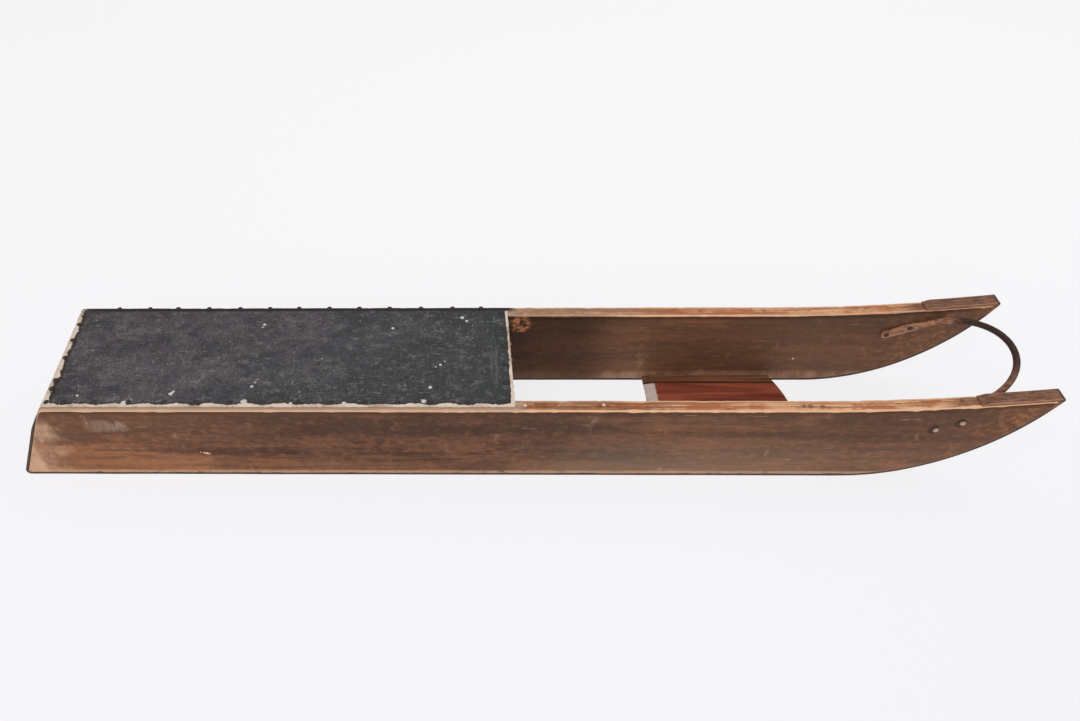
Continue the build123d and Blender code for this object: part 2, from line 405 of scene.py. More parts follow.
def runner_outline(sizes, heel_count):
    """The closed outline of a runner, from the heel's foot along the sole."""
    sole_count, prow_count, sheer_count, top_count = 400, 100, 120, 380
    side = RunnerSide(sizes)
    down = -math.pi / 2
    bend_turn = (side.heel_turn + 1.5 * math.pi) / 2
    round_turn = (side.heel_turn + math.pi / 2) / 2
    bend, rounding = sizes.heel_bend, sizes.heel_round
    ends = CORNER_ROWS
    tip_count = 2 * ends + heel_count
    return (
        bent(side.bend_centre, bend, bend_turn, 1.5 * math.pi, ends)
        + straight((side.bend_centre.x, sizes.shoe), side.prow_start, sole_count)
        + bent(side.prow_centre, side.prow_radius, down, side.nose_from, prow_count)
        + bent(side.nose, sizes.tip_round, side.nose_from, side.nose_to, tip_count)
        + bent(side.sheer_centre, side.sheer_radius, side.sheer_end, down, sheer_count)
        + straight(side.sheer_start, (side.round_centre.x, SEAT_TOP), top_count)
        + bent(side.round_centre, rounding, math.pi / 2, round_turn, ends)
        + bent(side.round_centre, rounding, round_turn, side.heel_turn, ends)
        + straight(side.round_low, side.bend_top, heel_count)
        + bent(side.bend_centre, bend, side.heel_turn, bend_turn, ends)
    )


def board_outline(low, high, corner, long_count, short_count, bulge=0.0):
    """The closed outline of a rectangular board, with a bowed far end if it bulges."""
    (x0, y0), (x1, y1) = low, high
    ends = CORNER_ROWS
    quarter = math.pi / 4
    rows = bent((x0 + corner, y0 + corner), corner, -3 * quarter, -2 * quarter, ends)
    rows += straight((x0 + corner, y0), (x1 - corner, y0), long_count)
    rows += bent((x1 - corner, y0 + corner), corner, -2 * quarter, -quarter, ends)
    rows += bent((x1 - corner, y0 + corner), corner, -quarter, 0, ends)
    if bulge:
        half = (y1 - y0) / 2 - corner
        radius = (half**2 + bulge**2) / (2 * bulge)
        spread = math.asin(half / radius)
        middle = (x1 + bulge - radius, (y0 + y1) / 2)
        rows += bent(middle, radius, -spread, spread, short_count)
    else:
        rows += straight((x1, y0 + corner), (x1, y1 - corner), short_count)
    rows += bent((x1 - corner, y1 - corner), corner, 0, quarter, ends)
    rows += bent((x1 - corner, y1 - corner), corner, quarter, 2 * quarter, ends)
    rows += straight((x1 - corner, y1), (x0 + corner, y1), long_count)
    rows += bent((x0 + corner, y1 - corner), corner, 2 * quarter, 3 * quarter, ends)
    rows += bent((x0 + corner, y1 - corner), corner, 3 * quarter, 4 * quarter, ends)
    rows += straight((x0, y1 - corner), (x0, y0 + corner), short_count)
    rows += bent((x0 + corner, y0 + corner), corner, -4 * quarter, -3 * quarter, ends)
    return rows


def eased(values, steps, slope):
    """Values round a closed loop, lowered where they rise faster than the slope."""
    values = list(values)
    count = len(values)
    for i in range(2 * count):
        here = i % count
        values[here] = min(values[here], values[here - 1] + slope * steps[here])
    for i in range(2 * count, 0, -1):
        here, after = (i - 1) % count, i % count
        values[here] = min(values[here], values[after] + slope * steps[after])
    return np.array(values)


def worn_edge(path, face, inward, arris, seed, dice, chips):
    """Rings over the worn edge of one face, each with its outline, depth and wear."""
    spots, normals, room = path[:, :2], path[:, 2:4], path[:, 4]
    margin = 3.5 * MM
    turns = ((0, 0.65), (math.pi / 6, 1.0), (math.pi / 3, 1.0), (math.pi / 2, 0.9))
    flat = np.column_stack([spots, np.full(len(path), (1 - inward) / 2)])
    radius = arris * (1 + 0.3 * ripple(flat, 30, seed) + 0.15 * ripple(flat, 120, seed))
    for _ in range(chips):
        middle = dice.choice(spots)
        reach = dice.uniform(2, 8) * MM
        gap = np.linalg.norm(spots - middle, axis=1)
        radius += dice.uniform(0.3, 1.3) * MM * np.exp(-((gap / reach) ** 2))
    radius = np.minimum(radius, 0.8 * room)
    steps = np.linalg.norm(spots - np.roll(spots, 1, axis=0), axis=1)
    inset = eased(np.minimum(radius + margin, 0.95 * room), steps, 0.15)
    face_depth = face + inward * DISH * (1 + ripple(flat, 14, seed))
    rings = [(spots - normals * inset[:, None], face_depth, 0.0)]
    for turn, wear in turns:
        back = radius * (1 - math.sin(turn))
        depth = face_depth + inward * radius * (1 - math.cos(turn))
        rings.append((spots - normals * back[:, None], depth, wear))
    return rings


def face_fill(loop, run, short, ring_start, inner_start):
    """The points that fill a board's face inside its ring, and the face's quads."""
    heel_line = loop[2 * run + short] - loop[0]
    squared = heel_line.dot(heel_line)
    climb = [np.dot(loop[-j] - loop[0], heel_line) / squared for j in range(short)]
    index = {}
    inner = []
    for i in range(run + 1):
        for j in range(short + 1):
            if j == 0:
                index[i, j] = ring_start + i
            elif i == run:
                index[i, j] = ring_start + run + j
            elif j == short:
                index[i, j] = ring_start + 2 * run + short - i
            elif i == 0:
                index[i, j] = ring_start + len(loop) - j
            else:
                u, tip_v = i / run, j / short
                v = (1 - u) * climb[j] + u * tip_v
                low, high = loop[i], loop[2 * run + short - i]
                heel = loop[-j] - loop[0] - climb[j] * heel_line
                tip = loop[run + j] - (1 - tip_v) * loop[run] - tip_v * loop[run + short]
                index[i, j] = inner_start + len(inner)
                inner.append((1 - v) * low + v * high + (1 - u) * heel + u * tip)
    quads = [
        (index[i, j], index[i + 1, j], index[i + 1, j + 1], index[i, j + 1])
        for i in range(run)
        for j in range(short)
    ]
    return np.array(inner), quads


def plank(path, end_rows, thickness, arris, seed, chips):
    """A worn board sawn to a closed outline, with end_rows rows between end corners.

    Gives its points as two outline coordinates and a depth, its faces, the wear of each
    point, and which points lie along the outline's second long run.
    """
    path = np.array(path)
    spots, normals = path[:, :2], path[:, 2:4]
    count = len(path)
    short = end_rows + 2 * CORNER_ROWS
    run = (count - 2 * short) // 2
    second = np.zeros(count)
    second[run + short : 2 * run + short + 1] = 1.0
    dice = random.Random(seed)
    near = worn_edge(path, 0.0, 1, arris, seed, dice, chips)
    far = worn_edge(path, thickness, -1, arris, seed, dice, chips)[::-1]
    rings = list(near)
    hollow, side_wear = 0.15, 0.35
    for share in (0.25, 0.5, 0.75):
        depth = near[-1][1] * (1 - share) + far[0][1] * share
        rings.append((spots - normals * hollow * MM, depth, side_wear))
    rings += far
    points = [np.column_stack([flat, depth]) for flat, depth, _ in rings]
    wear = [np.full(count, value) for _, _, value in rings]
    along = [second] * len(rings)
    faces = band_faces(0, len(rings), count)
    total = count * len(rings)
    for ring, inward in ((0, 1), (len(rings) - 1, -1)):
        inner, quads = face_fill(points[ring], run, short, ring * count, total)
        inner[:, 2] += inward * DISH * ripple(inner, 30, seed + 3)
        faces += quads
        points.append(inner)
        wear.append(np.zeros(len(inner)))
        along.append(np.zeros(len(inner)))
        total += len(inner)
    return np.vstack(points), faces, np.concatenate(wear), np.concatenate(along)


# Finishes


class Finish:
    """A procedural material under construction, in metres in the sled's own frame."""

    def __init__(self, name):
        self.material = bpy.data.materials.new(name)
        self.material.use_nodes = True
        self.tree = self.material.node_tree
        self.shader = self.tree.nodes["Principled BSDF"]
        self.place = self.node("ShaderNodeTexCoord").outputs["Object"]
        self.along = self.node("ShaderNodeSeparateXYZ", {0: self.place}).outputs

    def node(self, kind, inputs=None, **settings):
        """Adds a node, sets its options and fills or links its inputs."""
        made = self.tree.nodes.new(kind)
        for key, value in settings.items():
            setattr(made, key, value)
        for key, value in (inputs or {}).items():
            self.put(made.inputs[key], value)
        return made

    def put(self, socket, value):
        """Links a socket, or sets its value or colour."""
        if isinstance(value, bpy.types.NodeSocket):
            self.tree.links.new(value, socket)
        elif socket.type == "RGBA":
            socket.default_value = (*value[:3], 1.0)
        else:
            socket.default_value = value

    def spread(self, scale, seed, turn):
        """The sled's own coordinates, scaled in waves per metre and turned about Z."""
        inputs = {
            "Vector": self.place,
            "Location": (seed, seed * 1.7, seed * 2.3),
            "Rotation": (0, 0, turn),
            "Scale": scale,
        }
        return self.node("ShaderNodeMapping", inputs).outputs[0]

    def noise(self, scale, detail=4.0, rough=0.55, warp=0.0, seed=0.0, turn=0.0):
        """Noise from 0 to 1, with scale in waves per metre along each axis."""
        inputs = {
            "Vector": self.spread(scale, seed, turn),
            "Scale": 1.0,
            "Detail": detail,
            "Roughness": rough,
            "Distortion": warp,
        }
        return self.node("ShaderNodeTexNoise", inputs).outputs["Fac"]

    def dots(self, pitch, size, share, seed=0.0):
        """Scattered round dots: the cells' pitch, the dots' size, and the share with one."""
        cell = 1 / pitch
        inputs = {"Vector": self.spread((cell, cell, cell), seed, 0.0), "Scale": 1.0}
        cells = self.node("ShaderNodeTexVoronoi", inputs)
        inside = self.step(cells.outputs["Distance"], size / pitch, 0.5 * size / pitch)
        lot = self.node("ShaderNodeSeparateColor", {0: cells.outputs["Color"]}).outputs[0]
        return self.math("MULTIPLY", inside, self.math("LESS_THAN", lot, share))

    def cracks(self, pitch, width, seed=0.0):
        """A net of thin cracks: the pitch between them and their width."""
        cell = 1 / pitch
        bend = self.noise((cell, cell, cell), detail=3, seed=seed)
        flat = self.spread((cell, cell, cell), seed, 0.0)
        moved = self.node("ShaderNodeVectorMath", {0: flat, 1: bend}, operation="ADD").outputs[0]
        inputs = {"Vector": moved, "Scale": 1.0}
        net = self.node("ShaderNodeTexVoronoi", inputs, feature="DISTANCE_TO_EDGE")
        return self.step(net.outputs["Distance"], width / pitch, 0.3 * width / pitch)

    def step(self, value, low, high, bottom=0.0, top=1.0):
        """Runs smoothly from bottom to top as the value passes from low to high."""
        made = self.node(
            "ShaderNodeMapRange",
            {"Value": value, "From Min": low, "From Max": high, "To Min": bottom, "To Max": top},
            interpolation_type="SMOOTHSTEP",
        )
        return made.outputs[0]

    def math(self, operation, *values):
        """One sum on up to three values."""
        return self.node("ShaderNodeMath", dict(enumerate(values)), operation=operation).outputs[0]

    def blend(self, *terms):
        """Adds up values, each given with its weight."""
        total = 0.0
        for value, weight in terms:
            total = self.math("MULTIPLY_ADD", value, weight, total)
        return total

    def both(self, *masks):
        """Where all of several masks hold."""
        total = masks[0]
        for mask in masks[1:]:
            total = self.math("MULTIPLY", total, mask)
        return total

    def either(self, *masks):
        """Where any of several masks holds."""
        total = masks[0]
        for mask in masks[1:]:
            total = self.math("MAXIMUM", total, mask)
        return total

    def mix(self, share, under, over, mode="MIX"):
        """Lays one colour over another."""
        made = self.node("ShaderNodeMix", data_type="RGBA", blend_type=mode)
        for socket, value in ((0, share), (6, under), (7, over)):
            self.put(made.inputs[socket], value)
        return made.outputs[2]

    def layer(self, name):
        """A value stored on the mesh."""
        return self.node(
            "ShaderNodeAttribute", attribute_name=name, attribute_type="GEOMETRY"
        ).outputs["Fac"]

    def upward(self):
        """How far the surface faces up, from -1 to 1."""
        facing_up = self.node("ShaderNodeNewGeometry").outputs["Normal"]
        return self.node("ShaderNodeSeparateXYZ", {0: facing_up}).outputs[2]

    def patch(self, centre, size, ragged=0.6, seed=0.0):
        """A soft ragged patch round a place, 1 at its middle and 0 outside its size."""
        gap = self.node(
            "ShaderNodeVectorMath", {0: self.place, 1: centre}, operation="SUBTRACT"
        ).outputs[0]
        scaled = self.node(
            "ShaderNodeVectorMath", {0: gap, 1: [1 / s for s in size]}, operation="MULTIPLY"
        ).outputs[0]
        far = self.node("ShaderNodeVectorMath", {0: scaled}, operation="LENGTH").outputs["Value"]
        torn = self.noise([0.9 / s for s in size], detail=4, seed=seed)
        near = self.blend((far, 1), (torn, ragged))
        return self.step(near, 1 + ragged / 2, 0.5 + ragged / 2)

    def flecks(self, spots, ragged=0.9, seed=0.0):
        """Small ragged marks, each given as a place and its reach."""
        nearest = 9.0
        for *place, reach in spots:
            gap = self.node(
                "ShaderNodeVectorMath", {0: self.place, 1: place}, operation="DISTANCE"
            ).outputs["Value"]
            nearest = self.math("MINIMUM", nearest, self.math("DIVIDE", gap, reach))
        torn = self.noise((520, 520, 520), detail=3, seed=seed)
        near = self.blend((nearest, 1), (torn, ragged))
        return self.step(near, 1.1 + ragged / 2, 0.9 + ragged / 2)

    def finish(self, shade, roughness, relief, strength, distance, gloss=0.25):
        """Wires colour, roughness and bump to the shader and hands the material over."""
        self.put(self.shader.inputs["Base Color"], shade)
        self.put(self.shader.inputs["Roughness"], roughness)
        self.shader.inputs["Specular IOR Level"].default_value = gloss
        bump = self.node(
            "ShaderNodeBump", {"Strength": strength, "Distance": distance, "Height": relief}
        )
        self.put(self.shader.inputs["Normal"], bump.outputs[0])
        return self.material


class RunnerWood(Finish):
    """The runners' finish, with the grain, blotches and masks that its layers share."""

    def __init__(self):
        super().__init__("runner_wood")
        x, y = self.along[0], self.along[1]
        self.figure = self.noise((2.4, 34, 42), detail=6, rough=0.62, warp=0.7)
        self.streak = self.noise((11, 430, 430), detail=3, rough=0.7)
        self.blotch = self.noise((20, 28, 28), detail=5, rough=0.62, seed=4)
        self.mottle = self.noise((75, 120, 120), detail=4, rough=0.7, seed=7)
        self.smear = self.noise((34, 60, 14), detail=5, rough=0.65, seed=31)
        self.cloud = self.noise((3.2, 9, 12), detail=4, seed=9)
        across = self.math("ABSOLUTE", y)
        self.outside = self.step(across, PLANK_OUTER - 4 * MM, PLANK_OUTER - 1 * MM)
        self.inside = self.step(across, PLANK_INNER + 3 * MM, PLANK_INNER + 1 * MM)
        seat_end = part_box("seat_cover")[1].x
        self.beside = self.step(x, seat_end + 0.02, seat_end)
        # Along the far runner's top beside the seat: painted dark, with no rubbed edge.
        self.dark_far_top = self.both(self.beside, self.step(y, 0.1, 0.11))


def varnish(f, colours):
    """The varnish and its grain, warmer low down and greyer high up and ahead."""
    x, z, cloud, mottle = f.along[0], f.along[2], f.cloud, f.mottle
    grain = f.blend((f.figure, 0.5), (mottle, 0.3), (f.streak, 0.2))
    body = f.mix(f.step(grain, 0.42, 0.58), colours.varnish_dark, colours.varnish_light)
    lower = f.step(f.blend((z, 1), (cloud, 0.05), (x, 0.03)), 0.085, 0.045)
    body = f.mix(f.both(lower, f.step(f.figure, 0.35, 0.6, 0.3, 0.85)), body, colours.amber)
    high = f.step(f.blend((z, 1), (cloud, 0.07)), 0.09, 0.155, 0.0, 0.8)
    ahead = f.step(f.blend((x, 1), (cloud, 0.4)), 0.0, 0.55)
    body = f.mix(f.either(high, f.both(ahead, 0.6)), body, colours.grime)
    body = f.mix(f.step(f.streak, 0.42, 0.7, 0.0, 0.45), body, colours.pores)
    flecked = f.both(f.step(mottle, 0.52, 0.7), f.step(ahead, 0, 1, 0.5, 0.35))
    body = f.mix(flecked, body, colours.varnish_light)
    broad = f.noise((8, 30, 34), detail=5, rough=0.62, seed=61)
    body = f.mix(f.step(broad, 0.53, 0.68, 0.0, 0.5), body, colours.varnish_light)
    return f.mix(f.step(broad, 0.47, 0.34, 0.0, 0.55), body, colours.varnish_dark)


def rubbed_varnish(f, colours, body):
    """Scratches and scuffs, browner tips, and the faded side near the heel."""
    x, mottle, smear = f.along[0], f.mottle, f.smear
    scratch = f.noise((26, 360, 360), detail=3, rough=0.6, seed=15)
    body = f.mix(f.step(scratch, 0.66, 0.74, 0.0, 0.5), body, colours.scuffed)
    scuffs = f.both(f.step(smear, 0.58, 0.74), f.step(mottle, 0.4, 0.6, 0.1, 0.45))
    body = f.mix(scuffs, body, colours.scuffed)
    tips = f.blend((x, 1), (f.blotch, 0.12), (f.inside, 0.06))
    tips = f.both(f.step(tips, 0.69, 0.78), f.step(smear, 0.35, 0.6, 0.4, 0.95))
    body = f.mix(tips, body, f.mix(f.step(mottle, 0.45, 0.6), colours.tip, colours.amber))
    heel = f.blend((x, 1), (f.blotch, 0.11), (smear, 0.06))
    heel = f.step(heel, HEEL_X + 0.165, HEEL_X + 0.105)
    heel = f.both(heel, f.step(smear, 0.6, 0.4, 0.4, 0.95), f.outside)
    body = f.mix(heel, body, colours.scuffed)
    upright = f.noise((330, 60, 26), detail=3, rough=0.6, seed=51)
    for station, reach, share in ((0.150, 0.034, 0.4), (0.172, 0.016, 0.6)):
        spot = (HEEL_X + station, -PLANK_OUTER, 0.112)
        faded = f.patch(spot, (reach, 0.02, 0.015), 1.2, seed=3)
        faded = f.both(faded, f.step(upright, 0.38, 0.62, 0.1, share))
        body = f.mix(faded, body, colours.faded)
    return body


def dirty_sides(f, colours, sizes, body):
    """The darker middle of the outer faces, a grey veil of painted sheen, painted shadows beside
    the rivets, and the dust and dirt on the sides.
    """
    z, mottle, smear, outside, inside = f.along[2], f.mottle, f.smear, f.outside, f.inside
    soaked = f.blend((f.along[0], 1), (f.cloud, 0.25))
    deep = f.both(f.step(soaked, -0.42, -0.2), f.step(soaked, 0.42, 0.25))
    front = f.both(f.step(soaked, 0.3, 0.5, 0.0, 0.6), f.step(z, 0.06, 0.1))
    deep = f.both(f.either(deep, front), outside, f.step(mottle, 0.3, 0.6, 1.0, 0.75))
    body = f.mix(deep, body, colours.deepened, mode="MULTIPLY")
    # Painted sheen: a grey veil in the faded colour stands in for the varnish's gloss, over the
    # front of the outer faces, stronger low down, and faintly all over the inner faces.
    veil = f.both(f.step(soaked, 0.07, 0.25), f.step(soaked, 0.7, 0.45, 0.4, 1.0))
    veil = f.both(veil, f.step(f.blend((z, 1), (smear, 0.04)), 0.13, 0.035, 0.02, 0.24))
    veil = f.either(f.both(outside, veil), f.both(inside, 0.08))
    body = f.mix(veil, body, colours.faded)
    under = f.step(f.layer("below"), 12 * MM, 2 * MM)
    under = f.both(under, f.step(f.cloud, 0.3, 0.6, 0.65, 1.0))
    body = f.mix(under, body, colours.seam)
    foot = f.both(f.step(z, 13.5 * MM, 10 * MM), outside, f.step(mottle, 0.3, 0.5, 0.1, 0.6))
    body = f.mix(foot, body, colours.scuffed)
    ledge = f.both(f.step(z, 28 * MM, 14 * MM), inside, f.step(smear, 0.35, 0.6, 0.1, 0.55))
    body = f.mix(ledge, body, colours.scuffed)
    # Painted shadow: dark marks on the right runner's outer face, set just behind each rivet head.
    behind, reach = 2.5 * MM, 8.5 * MM
    rivet_shadow = [
        (*bow_place(sizes, -rivet - behind, -PLANK_OUTER, 0.0), reach)
        for rivet in (sizes.rivet_rear, sizes.rivet_front)
    ]
    return f.mix(f.both(f.flecks(rivet_shadow, 0.5), 0.8), body, colours.pores)


def bare_tops(f, colours, sizes):
    """Bare wood of the tops, grubby beside the cloth, dark along the far runner beside the seat,
    and stained by the caps.
    """
    x, y, blotch, mottle = f.along[0], f.along[1], f.blotch, f.mottle
    bands = f.noise((5, 260, 90), detail=3, rough=0.5, seed=21)
    bare = f.mix(f.step(bands, 0.38, 0.62), colours.bare_dark, colours.bare_light)
    bare = f.mix(f.step(blotch, 0.44, 0.6, 0.0, 0.85), bare, colours.bare_red)
    grain = f.step(f.blend((f.figure, 0.5), (mottle, 0.5)), 0.5, 0.64)
    bare = f.mix(grain, bare, colours.stain)
    bare = f.mix(f.step(f.streak, 0.52, 0.72, 0.0, 0.6), bare, colours.stain)
    middle = f.both(f.step(x, 0.32, 0.12), f.step(mottle, 0.3, 0.55, 0.05, 0.55))
    bare = f.mix(middle, bare, colours.stain)
    dulled = f.both(f.step(y, 0.0, 0.1), f.step(x, 0.3, 0.05, 0.0, 0.4))
    bare = f.mix(dulled, bare, colours.canvas_grubby)
    bare = f.mix(f.both(f.beside, 0.8), bare, colours.canvas_grubby)
    cap_start = -HEEL_X - sizes.cap
    by_cap = f.blend((x, 1), (blotch, 0.05))
    by_cap = f.step(by_cap, cap_start - 0.03, cap_start + 0.025, 0.0, 0.8)
    bare = f.mix(by_cap, bare, colours.stain)
    return f.mix(f.dark_far_top, bare, colours.pores)


def rubbed_edges(f, colours, body):
    """Pale rubbed edges, and the shade between the runners on their inner faces."""
    x, mottle = f.along[0], f.mottle
    edge = f.step(f.blend((f.layer("wear"), 1), (f.blotch, 0.5), (mottle, 0.2)), 0.95, 1.2)
    crest = f.step(f.layer("crest"), 0.4, 0.9)
    edge = f.both(edge, f.step(crest, 0, 1, 0.5, 0.95), f.math("SUBTRACT", 1.0, f.dark_far_top))
    rubbed = f.mix(f.step(mottle, 0.4, 0.6), colours.rubbed, colours.bare_light)
    rubbed = f.mix(f.both(f.beside, 0.5), rubbed, colours.canvas_grubby)
    body = f.mix(edge, body, rubbed)
    gloom = f.either(f.step(x, 0.22, 0.1), f.step(x, 0.42, 0.62, 0.0, 0.4))
    return f.mix(f.both(f.inside, gloom), body, colours.shade, mode="MULTIPLY")


def single_marks(f, colours, body):
    """A worn spot, chips and knots in their places, and scattered pits and specks."""
    worn_spot = f.patch((HEEL_X + 0.780, PLANK_INNER, 0.128), (0.02, 0.01, 0.02), 1.5, seed=5)
    worn_spot = f.both(worn_spot, f.step(f.mottle, 0.42, 0.58))
    body = f.mix(worn_spot, body, colours.bare_dark)
    chips = (
        (HEEL_X + 1.234, PLANK_INNER, 0.051, 2.2 * MM),
        (HEEL_X + 0.284, -PLANK_OUTER, 0.0545, 1.0 * MM),
        (HEEL_X + 0.289, -PLANK_OUTER, 0.053, 1.7 * MM),
        (HEEL_X + 0.293, -PLANK_OUTER, 0.0515, 2.3 * MM),
        (HEEL_X + 0.297, -PLANK_OUTER, 0.051, 1.4 * MM),
    )
    body = f.mix(f.both(f.flecks(chips, 1.5), 0.85), body, colours.rubbed)
    top_middle = -0.1035
    knots = [
        (HEEL_X + station * MM, top_middle, SEAT_TOP, reach * MM)
        for station, reach in ((878, 3.4), (890, 2.6), (1170, 3.4), (1179, 4.2), (1196, 3.4))
    ]
    body = f.mix(f.both(f.flecks(knots, 1.6), 0.7), body, colours.stain)
    body = f.mix(f.dots(0.045, 1.5 * MM, 0.35, seed=8), body, colours.pores)
    return f.mix(f.dots(0.06, 1.3 * MM, 0.3, seed=18), body, colours.scuffed)


def runner_finish(colours):
    """Dark varnish over close-grained hardwood, worn pale on the tops and edges."""
    sizes = bpy.context.scene.sled_sizes
    f = RunnerWood()
    body = varnish(f, colours)
    body = rubbed_varnish(f, colours, body)
    body = dirty_sides(f, colours, sizes, body)
    top = f.both(f.step(f.upward(), 0.6, 0.85), f.step(f.blotch, 0.2, 0.34, 0.75, 1.0))
    body = f.mix(top, body, bare_tops(f, colours, sizes))
    body = rubbed_edges(f, colours, body)
    body = single_marks(f, colours, body)
    rough = f.step(f.blotch, 0.3, 0.7, 0.42, 0.62)
    fine = f.noise((150, 900, 900), detail=2)
    relief = f.blend((f.streak, 0.45), (fine, 0.2), (f.mottle, 0.35))
    return f.finish(body, rough, relief, 0.4, 0.0007, gloss=0.13)


def batten_finish(colours):
    """Bare, sawn and darkened softwood."""
    f = Finish("pale_wood")
    figure = f.noise((30, 2.2, 40), detail=5, warp=1.0)
    saw = f.noise((12, 260, 20), detail=2)
    dirt = f.noise((14, 14, 14), detail=5)
    shade = f.mix(f.step(figure, 0.35, 0.65), colours.batten, colours.bare_dark)
    shade = f.mix(f.step(dirt, 0.4, 0.75, 0.0, 0.6), shade, colours.stain)
    shade = f.mix(f.step(f.layer("wear"), 0.5, 1.0, 0.0, 0.5), shade, colours.bare_light)
    shade = f.mix(f.dots(0.05, 1.8 * MM, 0.3, seed=5), shade, colours.pores)
    relief = f.blend((saw, 1), (figure, 0.5))
    return f.finish(shade, 0.78, relief, 0.3, 0.0008)


SPREADER_BEVEL = 20.0 * MM


def red_finish(colours):
    """Red-brown varnished board, darker in a band beside the runners, its rear bevel worn pale."""
    f = Finish("red_wood")
    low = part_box("spreader")[0]
    figure = f.noise((3.0, 46, 60), detail=5, warp=0.8)
    streak = f.noise((10, 420, 420), detail=3)
    shade = f.mix(f.step(figure, 0.35, 0.65), colours.red_dark, colours.red)
    shade = f.mix(f.step(streak, 0.5, 0.75, 0.0, 0.5), shade, colours.red_dark)
    grime = f.blend((f.math("ABSOLUTE", f.along[1]), 1), (figure, 0.008))
    rear = f.blend((f.along[0], 1), (streak, 0.004))
    rear = f.step(rear, low.x + SPREADER_BEVEL + 1 * MM, low.x + SPREADER_BEVEL - 2 * MM)
    pale = f.mix(f.step(figure, 0.3, 0.7), colours.chalk, colours.canvas)
    shade = f.mix(rear, shade, pale)
    shade = f.mix(f.both(f.layer("wear"), f.step(streak, 0.5, 0.6)), shade, colours.bare_red)
    # A dark band a little inside each runner, and against the runner a strip in the runners'
    # varnish colours.
    dirt = f.step(grime, PLANK_INNER - 16 * MM, PLANK_INNER - 13 * MM)
    shade = f.mix(dirt, shade, colours.pores)
    runs = f.mix(f.step(streak, 0.35, 0.65), colours.varnish_light, colours.grime)
    shade = f.mix(f.step(grime, PLANK_INNER - 12 * MM, PLANK_INNER - 10 * MM), shade, runs)
    return f.finish(shade, 0.4, streak, 0.2, 0.0004)


def cap_iron(f):
    """Where the strap is turned back over the tips, but for its dark end."""
    x, z = f.along[0], f.along[2]
    start = -HEEL_X - bpy.context.scene.sled_sizes.cap
    ahead = f.step(x, start - 32 * MM, start - 12 * MM)
    end = f.step(x, -HEEL_X - 3 * MM, -HEEL_X - 7 * MM)
    return f.both(ahead, end, f.step(z, SEAT_TOP, SEAT_TOP + 8 * MM))


def bow_rust(f):
    """Where the bow is hammered flat, and less so its leg by the right runner."""
    flats = -HEEL_X - bpy.context.scene.sled_sizes.bow_back + 24 * MM
    flat = f.step(f.along[0], flats + 20 * MM, flats)
    return f.either(flat, f.step(f.along[1], -0.03, -0.075, 0.0, 0.55))


def iron_finish(colours, name, dark, rusty, browned, pale):
    """Forged iron gone brown; rusty is how far the rust has spread.

    The function browned gives the places covered in dry rust, and pale says how pale.
    """
    f = Finish(name)
    patch = f.noise((55, 55, 55), detail=6, rough=0.65, seed=2)
    pits = f.noise((520, 520, 520), detail=4, rough=0.7)
    bloom = f.noise((60, 230, 230), detail=5, rough=0.7, seed=13)
    hammered = f.noise((18, 300, 300), detail=4, rough=0.6, seed=23)
    shade = f.mix(f.step(patch, 0.62 - rusty, 0.8 - rusty), dark, colours.rust)
    brown = browned(f)
    tone = f.mix(f.step(bloom, 0.36, 0.58, 0.0, pale), colours.rust, colours.rust_pale)
    tone = f.mix(f.step(hammered, 0.46, 0.6, 0.0, 1.05 - 0.95 * pale), tone, dark)
    shade = f.mix(brown, shade, tone)
    shade = f.mix(f.step(pits, 0.52, 0.75, 0.0, 0.6), shade, colours.pores)
    shade = f.mix(f.step(bloom, 0.6, 0.75, 0.0, 0.5), shade, colours.rust_pale)
    rub = f.step(f.blend((f.layer("wear"), 1), (bloom, 0.5)), 0.9, 1.3, 0.0, 0.7)
    shade = f.mix(f.both(rub, brown), shade, colours.rust_pale)
    f.shader.inputs["Metallic"].default_value = 0.1
    rough = f.step(patch, 0.3, 0.7, 0.5, 0.78)
    return f.finish(shade, rough, f.blend((pits, 0.7), (bloom, 0.6)), 0.5, 0.0009, gloss=0.3)


def rivet_finish(colours):
    """Dark iron with the crowns of the heads pale: partly paler iron, partly a painted highlight.
    """
    f = Finish("rivet_iron")
    pits = f.noise((600, 600, 600), detail=4, rough=0.7)
    crown = f.blend((f.math("ABSOLUTE", f.along[1]), 1000), (pits, 0.8))
    shade = f.mix(f.step(pits, 0.4, 0.65), colours.iron, colours.pores)
    outer = PLANK_OUTER / MM
    # Painted highlight: the pale crown of each outer head, partly paler iron.
    shade = f.mix(f.step(crown, outer + 1.0, outer + 3.4), shade, colours.crown)
    f.shader.inputs["Metallic"].default_value = 0.15
    return f.finish(shade, 0.5, pits, 0.35, 0.0006, gloss=0.35)


def screw_finish(colours):
    """Rust-brown screw heads, rubbed on their rims."""
    f = Finish("screw_iron")
    pits = f.noise((650, 650, 650), detail=4, rough=0.7)
    shade = f.mix(f.step(pits, 0.42, 0.66), colours.rust, colours.iron)
    return f.finish(shade, 0.55, pits, 0.35, 0.0005, gloss=0.35)


def nail_finish(colours):
    """Nail heads worn bright, dull in their pits."""
    f = Finish("nail_iron")
    pits = f.noise((800, 800, 800), detail=4, rough=0.7)
    shade = f.mix(f.step(pits, 0.5, 0.72), colours.nail, colours.rust_pale)
    return f.finish(shade, 0.45, pits, 0.3, 0.0003, gloss=0.35)


def tack_finish(colours):
    """Blackened tack heads."""
    f = Finish("tack_iron")
    pits = f.noise((700, 700, 700), detail=4, rough=0.7)
    shade = f.mix(f.step(pits, 0.45, 0.7), colours.tack, colours.iron)
    return f.finish(shade, 0.55, pits, 0.3, 0.0004, gloss=0.3)


